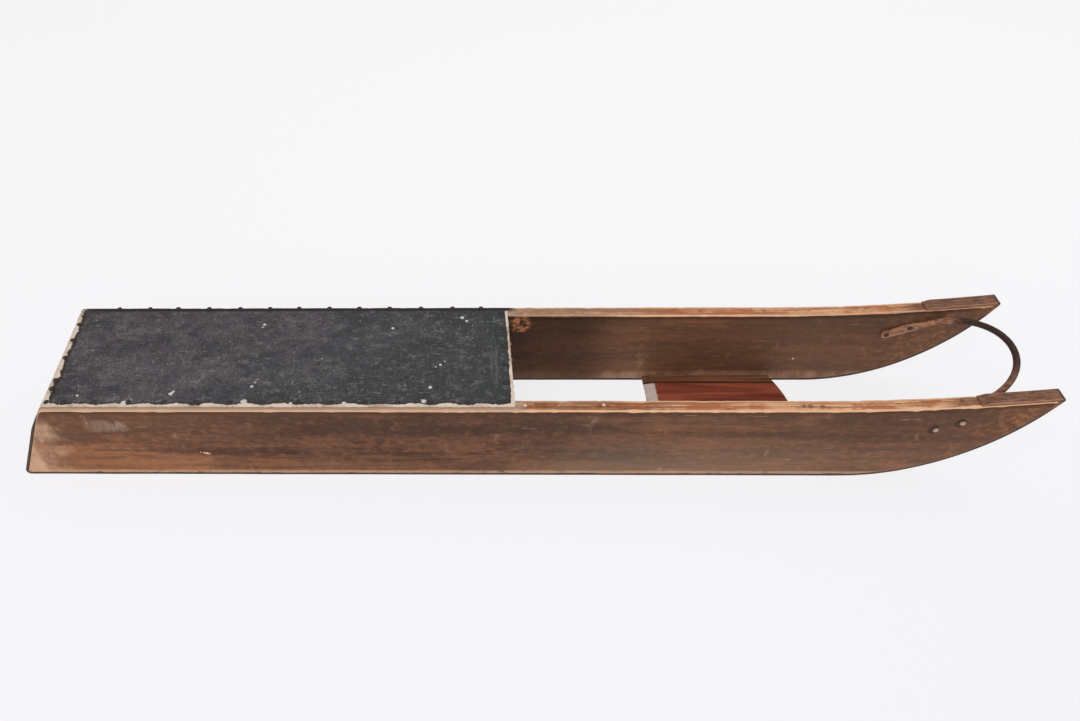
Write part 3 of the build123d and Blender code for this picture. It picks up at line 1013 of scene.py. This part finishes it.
# Paint lost from the cloth: along from the heel, across and reach, in millimetres
PAINT_LOSSES = (
    (185, -99, 4.5),
    (250, -80, 3.2),
    (253, -76, 2.2),
    (361, -96, 4.5),
    (368, -65, 2.4),
    (372, -57, 1.4),
    (375, -50, 1.2),
    (368, 72, 2.8),
    (366, 66, 1.6),
    (573, 63, 2.4),
    (624, -95, 3.6),
    (648, -19, 2.2),
    (641, -24, 1.4),
    (655, -12, 1.3),
    (683, 88, 3.0),
    (690, 80, 2.4),
    (633, -67, 2.6),
    (112, -84, 2.0),
    (508, -99, 3.2),
    (430, -100, 2.8),
)


def ragged_edge(f):
    """The fine tearing of the paint along the edges of the cloth."""
    return f.noise((110, 110, 110), detail=5, rough=0.7, seed=6)


def raw_edges(f, colours, low, high, mottle, grit, shade):
    """Raw canvas along the edges, wavier between the right tacks, and the paint losses."""
    x, y = f.along[0], f.along[1]
    drift = f.noise((22, 22, 22), detail=3, seed=19)
    pitch = bpy.context.scene.sled_sizes.tack_pitch
    turn = f.blend((x, math.tau / pitch), (1.0, -math.tau * RIGHT_TACKS / pitch))
    scallop = f.both(f.math("COSINE", turn), f.step(y, low.y + 0.02, low.y + 0.01))
    rim = (f.layer("rim"), 1)
    reach = f.blend(rim, (ragged_edge(f), 1.5), (drift, 1.3), (scallop, 0.26))
    stained = f.mix(f.step(mottle, 0.35, 0.7), colours.pores, colours.tack)
    shade = f.mix(f.step(reach, 3.1, 2.6, 0.0, 0.85), shade, stained)
    canvas = f.mix(f.step(drift, 0.4, 0.7), colours.canvas, colours.canvas_grubby)
    canvas = f.mix(f.step(grit, 0.5, 0.66, 0.0, 0.5), canvas, colours.cloth_worn)
    shade = f.mix(f.step(reach, 2.45, 2.3), shade, canvas)
    losses = [
        (station * MM + HEEL_X, side * MM, high.z, spread * MM)
        for station, side, spread in PAINT_LOSSES
    ]
    shade = f.mix(f.both(f.flecks(losses, 1.6, seed=2), 0.9), shade, colours.flaked)
    left_edge = f.step(y, high.y - 7 * MM, high.y - 3 * MM)
    return f.mix(f.both(left_edge, f.step(x, low.x, low.x + 0.02)), shade, colours.tack)


def cloth_finish(colours):
    """Blue-black painted canvas, crazed, flecked and bare at its cut edge."""
    f = Finish("seat_cloth")
    low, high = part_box("seat_cover")
    x, y = f.along[0], f.along[1]

    # Painted field
    mottle = f.noise((15, 24, 24), detail=6, rough=0.66)
    grit = f.noise((260, 300, 300), detail=4, rough=0.75, seed=3)
    cloud = f.noise((5, 8, 8), detail=4, seed=16)
    shade = f.mix(f.step(mottle, 0.32, 0.68), colours.cloth_dark, colours.cloth)
    teal = f.step(f.blend((x, 1), (y, -0.8), (cloud, 0.5)), -0.25, 0.25, 0.0, 0.72)
    shade = f.mix(teal, shade, colours.cloth_teal)
    front = f.step(f.blend((x, 1), (mottle, 0.02)), high.x - 0.025, high.x - 0.012)
    shade = f.mix(f.both(front, 0.8), shade, colours.cloth_teal)
    shade = f.mix(f.step(grit, 0.5, 0.68, 0.0, 0.42), shade, colours.cloth_worn)
    rubs = f.noise((70, 90, 90), detail=5, rough=0.75, seed=41)
    shade = f.mix(f.step(rubs, 0.52, 0.68, 0.0, 0.8), shade, colours.cloth_worn)
    shade = f.mix(f.step(rubs, 0.48, 0.36, 0.0, 0.6), shade, colours.cloth_dark)

    # Cracks, scratches and small spots
    net = f.both(f.cracks(7 * MM, 0.5 * MM, seed=4), f.step(mottle, 0.4, 0.6, 0.1, 0.6))
    shade = f.mix(net, shade, colours.tack)
    scuff = f.noise((60, 420, 420), detail=4, rough=0.7, seed=6, turn=0.5)
    cross = f.noise((360, 70, 360), detail=4, rough=0.7, seed=26, turn=0.9)
    scuff = f.either(f.step(scuff, 0.6, 0.7), f.step(cross, 0.61, 0.7))
    shade = f.mix(f.both(scuff, f.step(cloud, 0.35, 0.6, 0.1, 0.5)), shade, colours.scratch)
    shade = f.mix(f.both(f.dots(0.03, 2.2 * MM, 0.3, seed=2), 0.6), shade, colours.scratch)
    shade = f.mix(f.both(f.dots(0.016, 1.5 * MM, 0.4, seed=12), 0.5), shade, colours.scratch)
    rubbed = f.patch((high.x - 24 * MM, -0.015, high.z), (0.012, 0.055, 0.02), 1.0, seed=44)
    lines = f.noise((420, 26, 26), detail=4, rough=0.65, seed=45)
    shade = f.mix(f.both(rubbed, f.step(lines, 0.42, 0.64, 0.0, 0.5)), shade, colours.cloth_worn)
    shade = raw_edges(f, colours, low, high, mottle, grit, shade)

    # Weave
    weave_scale = 330.0
    warp = {"Vector": f.place, "Scale": weave_scale, "Distortion": 0.4}
    weave_x = f.node("ShaderNodeTexWave", warp, bands_direction="X").outputs["Fac"]
    weave_y = f.node("ShaderNodeTexWave", warp, bands_direction="Y").outputs["Fac"]
    relief = f.blend((weave_x, 0.15), (weave_y, 0.15), (grit, 0.6), (ragged_edge(f), 0.3))
    rough = f.step(mottle, 0.3, 0.7, 0.5, 0.68)
    return f.finish(shade, rough, relief, 0.35, 0.0006, gloss=0.2)


def thread_finish(colours):
    """Frayed raw canvas threads."""
    f = Finish("canvas_thread")
    tone = f.noise((300, 300, 300), detail=3)
    shade = f.mix(f.step(tone, 0.35, 0.65), colours.canvas, colours.canvas_grubby)
    return f.finish(shade, 0.9, tone, 0.2, 0.0003, gloss=0.1)


# Pieces


def in_metres(*rows):
    """Rows of sizes that are given in millimetres."""
    return [tuple(value * MM for value in row) for row in rows]


# Small turned parts, as rows of radius and height

TACK_HEAD = in_metres(
    (0, 2.1), (1.4, 2.0), (2.7, 1.5), (3.7, 0.8), (4.2, 0.1), (3.9, -0.3), (0, -0.3)
)
NAIL_HEAD = in_metres((0, 0.7), (1.2, 0.68), (2.0, 0.5), (2.5, 0.15), (2.5, -0.3), (0, -0.3))
RIVET_HEAD = in_metres(
    (0, 3.2), (1.6, 3.1), (3.0, 2.6), (4.2, 1.8), (5.1, 0.8), (5.5, 0), (5.2, -0.4), (0, -0.4)
)
RIVET_TAIL = in_metres(
    (0, 1.8), (1.5, 1.7), (3.0, 1.4), (4.1, 0.8), (4.6, 0), (4.2, -0.3), (0, -0.3)
)
SCREW_RADIUS = 3.8 * MM


class SledOperator:
    """What the operators of the sled share."""

    bl_options = {"REGISTER", "UNDO"}


def below_edge(sizes, spots):
    """How far each point of a runner lies under the line of its top."""
    side = RunnerSide(sizes)
    ahead = np.maximum(spots[:, 0] - side.sheer_start.x, 0.0)
    top = side.sheer_centre.y - np.sqrt(side.sheer_radius**2 - ahead**2)
    return top - spots[:, 1]


class SLED_OT_runners(SledOperator, bpy.types.Operator):
    """Saw and wear the two runner planks"""

    bl_idname = "sled.runners"
    bl_label = "Runners"

    def execute(self, context):
        sizes = context.scene.sled_sizes
        finish = runner_finish(context.scene.sled_finish)
        heel_rows = 30
        path = runner_outline(sizes, heel_rows)
        thickness = PLANK_OUTER - PLANK_INNER
        for node, side in (("runner_right", -1), ("runner_left", 1)):
            board = plank(path, heel_rows, thickness, sizes.arris, seed=5 + side, chips=120)
            spots, faces, wear, crest = board
            points = [(x, side * (PLANK_INNER + depth), z) for x, z, depth in spots]
            layers = {"wear": wear, "crest": crest, "below": below_edge(sizes, spots)}
            piece = build(node + "_plank", points, faces, finish, "runner_wood", **layers)
            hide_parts(node)
        return {"FINISHED"}


class SLED_OT_boards(SledOperator, bpy.types.Operator):
    """Saw the seat board, the bearers under it and the low spreader"""

    bl_idname = "sled.boards"
    bl_label = "Boards and battens"

    def execute(self, context):
        colours = context.scene.sled_finish
        pale, red = batten_finish(colours), red_finish(colours)
        corner = 1.5 * MM
        end_rows = 8
        for index, node in enumerate(("bearer_rear", "bearer_middle", "bearer_front")):
            low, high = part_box(node)
            path = board_outline((low.y, low.x), (high.y, high.x), corner, 40, end_rows)
            board = plank(path, end_rows, high.z - low.z, 1.0 * MM, seed=20 + index, chips=8)
            spots, faces, wear, _ = board
            points = [(x, y, low.z + depth) for y, x, depth in spots]
            piece = build(node + "_batten", points, faces, pale, "pale_wood", wear=wear)
            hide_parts(node)
        low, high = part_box("seat_board")
        end_rows = 36
        path = board_outline(low.xy, high.xy, corner, 130, end_rows)
        board = plank(path, end_rows, high.z - low.z, 1.4 * MM, seed=31, chips=12)
        spots, faces, wear, _ = board
        points = [(x, y, low.z + depth) for x, y, depth in spots]
        piece = build("seat_board_plank", points, faces, pale, "pale_wood", wear=wear)
        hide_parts("seat_board")
        low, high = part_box("spreader")
        bulge = 25.0 * MM
        end_rows = 44
        straight_end = (high.x - bulge, high.y)
        path = board_outline(low.xy, straight_end, 1.0 * MM, 50, end_rows, bulge=bulge)
        board = plank(path, end_rows, high.z - low.z, 0.8 * MM, seed=37, chips=10)
        spots, faces, wear, _ = board
        points = []
        for x, y, depth in spots:
            thin = 1 - 0.5 * max(0.0, 1 - (x - low.x) / SPREADER_BEVEL)
            points.append((x, y, low.z + depth * thin))
        piece = build("spreader_board", points, faces, red, "red_wood", wear=wear)
        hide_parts("spreader")
        return {"FINISHED"}


def forged_tip(sizes, side, turn):
    """Thickness of the strap round the wooden tip, where it is forged to a point."""
    spread = (side.nose_to - side.nose_from) / 2
    aside = abs(turn - side.nose_from - spread)
    corner = sizes.tip_round + 0.2 * sizes.shoe
    reach = sizes.tip_round + sizes.shoe
    ahead = (reach - corner) / math.cos(spread)
    edge = math.atan2(corner * math.sin(spread), ahead + corner * math.cos(spread))
    if aside > edge:
        return reach / math.cos(spread - aside) - sizes.tip_round
    bow = math.sqrt(corner**2 - (ahead * math.sin(aside)) ** 2)
    return ahead * math.cos(aside) + bow - sizes.tip_round


def strap_path(sizes, side):
    """The line of the strap against the wood, and which of its rows lie round the tip."""
    stop = side.head - side.up * sizes.shoe_stop / side.up.y
    cap_start = -HEEL_X - sizes.cap - side.sheer_centre.x
    cap_turn = math.atan2(-math.sqrt(side.sheer_radius**2 - cap_start**2), cap_start)
    path = straight(stop, side.bend_top, 30)
    path += bent(side.bend_centre, sizes.heel_bend, side.heel_turn, 1.5 * math.pi, 7)
    path += straight((side.bend_centre.x, sizes.shoe), side.prow_start, 240)
    path += bent(side.prow_centre, side.prow_radius, -math.pi / 2, side.nose_from, 60)
    nose_rows = range(len(path), len(path) + NOSE_ROWS)
    path += bent(side.nose, sizes.tip_round, side.nose_from, side.nose_to, NOSE_ROWS)
    path += bent(side.sheer_centre, side.sheer_radius, side.sheer_end, cap_turn, 40)
    return np.array(path), nose_rows


def strap_section():
    """The strap's section, as shares across and up, the corner's turn and the wear."""
    section = []
    for across, up, turn in ((1, 0, 0), (1, 1, 1), (0, 1, 2), (0, 0, 3)):
        for part in range(3):
            swing = (turn - 1 + part / 2) * math.pi / 2
            section.append((across, up, math.cos(swing), math.sin(swing), up))
        if turn == 1:
            section += [(share, 1, 0, 1, 0) for share in (0.85, 0.62, 0.38, 0.15)]
    return section


class SLED_OT_shoes(SledOperator, bpy.types.Operator):
    """Wrap the iron straps round the runners"""

    bl_idname = "sled.shoes"
    bl_label = "Iron shoes"

    def execute(self, context):
        sizes = context.scene.sled_sizes
        colours = context.scene.sled_finish
        finish = iron_finish(colours, "shoe_iron", colours.iron, 0.04, cap_iron, 0.45)
        side = RunnerSide(sizes)
        path, nose_rows = strap_path(sizes, side)
        section = strap_section()
        spots, normals = path[:, :2], path[:, 2:4]
        steps = np.linalg.norm(np.diff(spots, axis=0, prepend=spots[:1]), axis=1)
        run = np.cumsum(steps)
        left = run[-1] - run
        cap_end, heel_end, heel_ramp = 0.25, 0.3, 40 * MM
        thick = sizes.shoe * np.clip(cap_end + (1 - cap_end) * left / sizes.cap_ramp, 0, 1)
        thick = np.minimum(thick, sizes.shoe * np.clip(heel_end + run / heel_ramp, 0, 1))
        for row in nose_rows:
            thick[row] = forged_tip(sizes, side, math.atan2(normals[row][1], normals[row][0]))
        width = PLANK_OUTER - PLANK_INNER - 2 * sizes.shoe_inset
        corner = 0.9 * MM
        full = 0.9 * sizes.shoe
        for node, hand in (("shoe_right", -1), ("shoe_left", 1)):
            points, wear = [], []
            flat = np.column_stack([spots, np.full(len(spots), hand)])
            hammer = ripple(flat, 55, 8) + 0.5 * ripple(flat, 150, 9)
            sway = 0.3 * MM * ripple(flat, 12, 10)
            for i, (spot, normal) in enumerate(zip(spots, normals)):
                tall = thick[i] - DISH * (1 + hammer[i]) * (thick[i] > full)
                for across, up, reach, rise, rub in section:
                    y = corner + across * (width - 2 * corner) + corner * reach
                    h = min(corner, tall / 2)
                    h = h + up * (tall - 2 * h) + h * rise
                    place = spot + normal * h
                    y = hand * (PLANK_INNER + sizes.shoe_inset + y + sway[i])
                    points.append((place[0], y, place[1]))
                    wear.append(rub)
            count = len(section)
            faces = band_faces(0, len(spots), count)
            faces += [tuple(range(count)), tuple(range(len(points) - count, len(points)))]
            piece = build(node + "_strap", points, faces, finish, "shoe_iron", wear=wear)
            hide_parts(node)
        return {"FINISHED"}


class SLED_OT_screws(SledOperator, bpy.types.Operator):
    """Drive the screws that hold the shoes, and the nails in the runner's top"""

    bl_idname = "sled.screws"
    bl_label = "Screws and nails"

    def execute(self, context):
        sizes = context.scene.sled_sizes
        colours = context.scene.sled_finish
        side = RunnerSide(sizes)
        dice = random.Random(4)
        middle = (PLANK_INNER + PLANK_OUTER) / 2
        parts = []
        for hand in (-1, 1):
            for x in SOLE_SCREWS:
                spot = (x + dice.uniform(-8, 8) * MM, hand * middle, 0.5 * MM)
                place = facing(spot, (0, 0, -1), dice.uniform(0, 3))
                parts.append(slotted(SCREW_RADIUS, place))
            for share in HEEL_SCREW_SHARES:
                spot = side.foot.lerp(side.head, share)
                out = Vector((-side.up.y, side.up.x))
                spot += out * sizes.shoe
                spot = (spot.x, hand * middle, spot.y)
                place = facing(spot, (out.x, 0, out.y), dice.uniform(0, 3))
                parts.append(slotted(SCREW_RADIUS, place))
        build("shoe_screws", *gather(parts), screw_finish(colours), "shoe_iron")
        parts = [
            turned(NAIL_HEAD, 20, facing((x, y, SEAT_TOP), (0, 0, 1)), 0.12, index)
            for index, (x, y) in enumerate(TOP_NAILS)
        ]
        build("top_nails", *gather(parts), nail_finish(colours), "shoe_iron")
        return {"FINISHED"}


def bow_place(sizes, along, aside, up):
    """A point given along the bow's legs, sideways and square to its plane."""
    middle = Vector((-HEEL_X - sizes.bow_back, 0, SEAT_TOP - sizes.bow_drop))
    cos, sin = math.cos(sizes.bow_tilt), math.sin(sizes.bow_tilt)
    return middle + Vector((along * cos - up * sin, aside, along * sin + up * cos))


class SLED_OT_bow(SledOperator, bpy.types.Operator):
    """Bend the bow and hammer its ends flat"""

    bl_idname = "sled.bow"
    bl_label = "Bow"

    def execute(self, context):
        sizes = context.scene.sled_sizes
        colours = context.scene.sled_finish
        finish = iron_finish(colours, "bow_iron", colours.bow, 0.0, bow_rust, 1.0)
        half = sizes.rod / 2
        radius = PLANK_INNER - half
        end = -sizes.rivet_rear - sizes.flat_width / 2
        flat_end = -sizes.rivet_front + 4.6 * MM
        leg_rings, bend_rings, around = 44, 72, 28
        legs = [end + (-end) * (i / leg_rings) ** 1.3 for i in range(leg_rings)]
        points = []
        stations = [(1, along) for along in legs]
        stations += [(0, math.pi * i / bend_rings) for i in range(bend_rings + 1)]
        stations += [(-1, along) for along in reversed(legs)]
        for hand, value in stations:
            if hand == 0:
                centre = (radius * math.sin(value), radius * math.cos(value))
                outward = (math.sin(value), math.cos(value))
                wide = tall = half
                power = 2.0
            else:
                morph = min(1.0, max(0.0, (value - flat_end) / -flat_end))
                morph = morph * morph * (3 - 2 * morph)
                wide = (1 - morph) * sizes.flat_thick / 2 + morph * half
                tall = (1 - morph) * sizes.flat_width / 2 + morph * half
                past = -sizes.rivet_rear - value
                if past > 0:
                    tall = math.sqrt(max((sizes.flat_width / 2) ** 2 - past**2, 1e-7))
                power = 2 + 3 * (1 - morph)
                centre = (value, hand * (PLANK_INNER - wide))
                outward = (0, hand)
            for i in range(around):
                turn = math.tau * i / around
                c, s = math.cos(turn), math.sin(turn)
                a = math.copysign(abs(c) ** (2 / power), c) * wide
                b = math.copysign(abs(s) ** (2 / power), s) * tall
                spot = bow_place(
                    sizes, centre[0] + outward[0] * a, centre[1] + outward[1] * a, b
                )
                dent = 1 + 0.02 * noise.noise(spot * 130)
                core = bow_place(sizes, *centre, 0)
                points.append(core + (spot - core) * (dent if a < 0 else min(dent, 1.0)))
        faces = band_faces(0, len(stations), around)
        faces += [tuple(range(around)), tuple(range(len(points) - around, len(points)))]
        piece = build("bow_rod", points, faces, finish, "bow_iron")
        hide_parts("bow")
        return {"FINISHED"}


class SLED_OT_rivets(SledOperator, bpy.types.Operator):
    """Set the rivets that hold the bow"""

    bl_idname = "sled.rivets"
    bl_label = "Bow rivets"

    def execute(self, context):
        sizes = context.scene.sled_sizes
        finish = rivet_finish(context.scene.sled_finish)
        for node, hand in (("bow_rivets_right", -1), ("bow_rivets_left", 1)):
            parts = []
            for index, along in enumerate((-sizes.rivet_rear, -sizes.rivet_front)):
                spot = bow_place(sizes, along, 0, 0)
                outside = Vector((spot.x, hand * PLANK_OUTER, spot.z))
                inside = Vector((spot.x, hand * (PLANK_INNER - sizes.flat_thick), spot.z))
                seed = index + hand * 3
                out = facing(outside, (0, hand, 0))
                parts.append(turned(RIVET_HEAD, 28, out, 0.06, seed))
                back = facing(inside, (0, -hand, 0))
                parts.append(turned(RIVET_TAIL, 24, back, 0.1, seed))
            piece = build(node + "_heads", *gather(parts), finish, "bow_iron")
            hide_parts(node)
        return {"FINISHED"}


# The seat cloth: its laps past the solid, its grid, and the raw canvas along its edges

REAR_LAP, RIGHT_LAP, LEFT_LAP = 5 * MM, 4 * MM, 3 * MM
CLOTH_STEP = 5 * MM
EDGE_STEPS = np.array([value * MM for value in (0, 0.8, 1.7, 2.7, 3.9, 5.3, 7.0, 9.2, 12.0)])
RAW_REAR, RAW_FRONT, RAW_RIGHT, RAW_LEFT = 11.0 * MM, 4.6 * MM, 6.2 * MM, 0.6 * MM


def graded(start, end):
    """Places across the cloth from start to end, packed closer near both edges."""
    reach, half = EDGE_STEPS[-1], CLOTH_STEP / 2
    middle = np.arange(start + reach + half, end - reach - half, CLOTH_STEP)
    return np.concatenate([start + EDGE_STEPS, middle, end - EDGE_STEPS[::-1]])


def cloth_spot(u, v, low, high):
    """Where a point of the flat cloth lies on the seat, and how near its edge it is."""
    sunk, fray = 0.45 * MM, 4 * MM
    hem, hem_turn = 7.0 * MM, 1.15
    rise = 0.25 * MM * noise.noise(Vector((u * 9, v * 22, 3)))
    rise += 0.12 * MM * noise.noise(Vector((u * 60, v * 60, 5)))
    lift = high.z - sunk + rise
    ravel = noise.noise(Vector((u * 110, v * 110, 1)))
    ravel += 0.6 * noise.noise(Vector((u * 420, v * 420, 2)))
    back, front, right, left = u - low.x, high.x - u, v - low.y, high.y - v
    inward = 1 if right < left else -1
    x = u - 1.0 * MM * (ravel + 1.0) * math.exp(-front / fray)
    y = v + inward * 1.1 * MM * (ravel + 1.2) * math.exp(-min(right, left) / fray)
    if back < hem:
        turn = (hem - back) / hem
        x = low.x + hem - hem * math.sin(turn * hem_turn) * 0.95
        lift -= hem * (1 - math.cos(turn * hem_turn)) * 0.9
        x += 0.9 * MM * (ravel + 1) * turn
    rim = min(back / RAW_REAR, front / RAW_FRONT, right / RAW_RIGHT, left / RAW_LEFT)
    return (x, y, lift), rim


class SLED_OT_cloth(SledOperator, bpy.types.Operator):
    """Lay the painted cloth on the seat"""

    bl_idname = "sled.cloth"
    bl_label = "Seat cloth"

    def execute(self, context):
        low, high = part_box("seat_cover")
        low = Vector((low.x - REAR_LAP, low.y - RIGHT_LAP, low.z))
        high = Vector((high.x, high.y + LEFT_LAP, high.z))
        us, vs = graded(low.x, high.x), graded(low.y, high.y)
        points, rims = [], []
        for thickness in (0.0, 1.0 * MM):
            for u in us:
                for v in vs:
                    (x, y, z), rim = cloth_spot(u, v, low, high)
                    points.append((x, y, z - thickness))
                    rims.append(min(rim, 4.0))
        rows, columns = len(us), len(vs)
        faces = band_faces(0, rows, columns, closed=False)
        faces += band_faces(rows * columns, rows, columns, closed=False)
        border = [i * columns for i in range(rows)]
        border += [(rows - 1) * columns + j for j in range(1, columns)]
        border += [i * columns + columns - 1 for i in range(rows - 2, -1, -1)]
        border += list(range(columns - 2, 0, -1))
        under = rows * columns
        for a, b in zip(border, border[1:] + border[:1]):
            faces.append((a, b, b + under, a + under))
        finish = cloth_finish(context.scene.sled_finish)
        piece = build("seat_cloth", points, faces, finish, "seat_cloth", rim=rims)
        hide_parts("seat_cover")
        frayed = self.threads(low, high, context.scene.sled_finish)
        return {"FINISHED"}

    def threads(self, low, high, colours):
        """Threads that have worked loose from the cut edges."""
        dice = random.Random(9)
        right_count, front_count, rear_count = 64, 18, 12
        starts = []
        for _ in range(right_count):
            x = dice.uniform(low.x + 0.01, high.x - 0.01)
            along, across = dice.uniform(-5, 5), dice.uniform(-1.8, -0.4)
            starts.append((x, low.y + 1.5 * MM, 0.0, along, across, 0.6))
        for _ in range(front_count):
            y = dice.uniform(low.y + 0.005, high.y - 0.005)
            along, across = dice.uniform(0.8, 2.2), dice.uniform(-4, 4)
            starts.append((high.x - 1.5 * MM, y, 0.0, along, across, 2.0))
        for _ in range(rear_count):
            y = dice.uniform(low.y + 0.005, high.y - 0.005)
            along, across = dice.uniform(-0.4, 0.2), dice.uniform(-2, 2)
            starts.append((low.x + 1.8 * MM, y, 2.6, along, across, 4.5))
        parts = []
        for x, y, sunk, along, across, fall in starts:
            line = []
            curl = dice.uniform(-1, 1)
            for share in np.arange(7) / 6:
                bow = curl * math.sin(math.pi * share)
                lift = 0.5 * math.sin(math.pi * share) - fall * share - sunk - 0.1
                ahead = 1.6 * (along * share - 0.4 * across * bow)
                aside = 1.3 * (across * share + 0.25 * along * bow)
                line.append(Vector((x + ahead * MM, y + aside * MM, high.z + lift * MM)))
            parts.append(strand(line, dice.uniform(0.16, 0.26) * MM))
        finish = thread_finish(colours)
        return build("seat_frayed_threads", *gather(parts), finish, "seat_cloth")


class SLED_OT_tacks(SledOperator, bpy.types.Operator):
    """Drive the tacks round the cloth"""

    bl_idname = "sled.tacks"
    bl_label = "Tacks"

    def execute(self, context):
        sizes = context.scene.sled_sizes
        finish = tack_finish(context.scene.sled_finish)
        low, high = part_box("seat_cover")
        dice = random.Random(12)
        long_row = 14
        spots = []
        for i in range(long_row):
            x = LEFT_TACKS + i * sizes.tack_pitch
            if x < high.x - 10 * MM:
                spots.append((x + dice.uniform(-2, 2) * MM, high.y + 1.5 * MM))
            x = RIGHT_TACKS + i * sizes.tack_pitch
            spots.append((x + dice.uniform(-3, 3) * MM, low.y + 5.5 * MM))
        spots += [(low.x + 5 * MM, y) for y in REAR_TACKS]
        spots += [(high.x - 12 * MM, y) for y in FRONT_TACKS]
        parts = []
        for index, (x, y) in enumerate(spots):
            lean = (dice.uniform(-0.12, 0.12), dice.uniform(-0.12, 0.12), 1)
            place = facing((x, y, high.z - 0.3 * MM), lean, dice.uniform(0, 3))
            parts.append(turned(TACK_HEAD, 16, place, 0.1, index))
        build("seat_tacks", *gather(parts), finish, "shoe_iron")
        return {"FINISHED"}


class SLED_OT_stage(SledOperator, bpy.types.Operator):
    """Set up the floor, the soft light and the camera"""

    bl_idname = "sled.stage"
    bl_label = "Studio"

    def execute(self, context):
        plan = context.scene.sled_stage
        scene = context.scene
        scene.view_settings.view_transform = "Standard"
        lens = bpy.data.cameras.new("camera")
        lens.lens = plan.focal
        lens.shift_x = plan.shift
        camera = bpy.data.objects.new("camera", lens)
        scene.collection.objects.link(camera)
        scene.camera = camera
        camera.matrix_world = (
            Matrix.Translation(plan.spot)
            @ Matrix.Rotation(plan.swing, 4, "Z")
            @ Matrix.Rotation(math.pi / 2 - plan.look_down, 4, "X")
            @ Matrix.Rotation(plan.roll, 4, "Z")
        )
        mesh = bpy.data.meshes.new("floor")
        reach = 30
        corners = [(-reach, -reach, 0), (reach, -reach, 0), (reach, reach, 0), (-reach, reach, 0)]
        mesh.from_pydata(corners, [], [(0, 1, 2, 3)])
        f = Finish("floor_paper")
        near_paper, far_paper, glow = (0.12, 0.115, 0.14), (0.2, 0.195, 0.2), (1.0, 0.99, 1.0)
        paper = f.mix(f.step(f.along[1], -1.0, 1.5), near_paper, far_paper)
        f.put(f.shader.inputs["Base Color"], paper)
        f.shader.inputs["Roughness"].default_value = 0.9
        f.shader.inputs["Specular IOR Level"].default_value = 0.0
        f.put(f.shader.inputs["Emission Color"], glow)
        f.shader.inputs["Emission Strength"].default_value = 0.8
        mesh.materials.append(f.material)
        floor = bpy.data.objects.new("floor", mesh)
        scene.collection.objects.link(floor)
        world = bpy.data.worlds.new("studio")
        world.use_nodes = True
        scene.world = world
        background = world.node_tree.nodes["Background"]
        background.inputs["Color"].default_value = (1, 1, 1, 1)
        background.inputs["Strength"].default_value = plan.sky
        for name, spot, size, power in (
            ("softbox", (-0.7, -1.9, 1.9), 1.8, plan.lamp),
            ("fill", (1.4, 0.9, 2.3), 1.6, plan.lamp * 0.35),
        ):
            light = bpy.data.lights.new(name, "AREA")
            light.size = size
            light.energy = power
            lamp = bpy.data.objects.new(name, light)
            scene.collection.objects.link(lamp)
            lamp.matrix_world = facing(spot, Vector(spot) - Vector((0, 0, 0.1)))
        return {"FINISHED"}


class SLED_PT_panel(bpy.types.Panel):
    """The sled's pieces in the sidebar."""

    bl_idname = "SLED_PT_panel"
    bl_label = "Wooden Racing Sled"
    bl_space_type = "VIEW_3D"
    bl_region_type = "UI"
    bl_category = "Sled"

    def draw(self, context):
        for operator in OPERATORS:
            self.layout.operator(operator.bl_idname)


OPERATORS = (
    SLED_OT_runners,
    SLED_OT_boards,
    SLED_OT_shoes,
    SLED_OT_screws,
    SLED_OT_bow,
    SLED_OT_rivets,
    SLED_OT_cloth,
    SLED_OT_tacks,
    SLED_OT_stage,
)
CLASSES = (SledSizes, SledFinish, StageSettings) + OPERATORS + (SLED_PT_panel,)


def register():
    for item in CLASSES:
        bpy.utils.register_class(item)
    bpy.types.Scene.sled_sizes = PointerProperty(type=SledSizes)
    bpy.types.Scene.sled_finish = PointerProperty(type=SledFinish)
    bpy.types.Scene.sled_stage = PointerProperty(type=StageSettings)


def unregister():
    del bpy.types.Scene.sled_stage
    del bpy.types.Scene.sled_finish
    del bpy.types.Scene.sled_sizes
    for item in reversed(CLASSES):
        bpy.utils.unregister_class(item)


def main():
    register()
    bpy.ops.sled.runners()
    bpy.ops.sled.boards()
    bpy.ops.sled.shoes()
    bpy.ops.sled.screws()
    bpy.ops.sled.bow()
    bpy.ops.sled.rivets()
    bpy.ops.sled.cloth()
    bpy.ops.sled.tacks()
    bpy.ops.sled.stage()


if __name__ == "__main__":
    main()
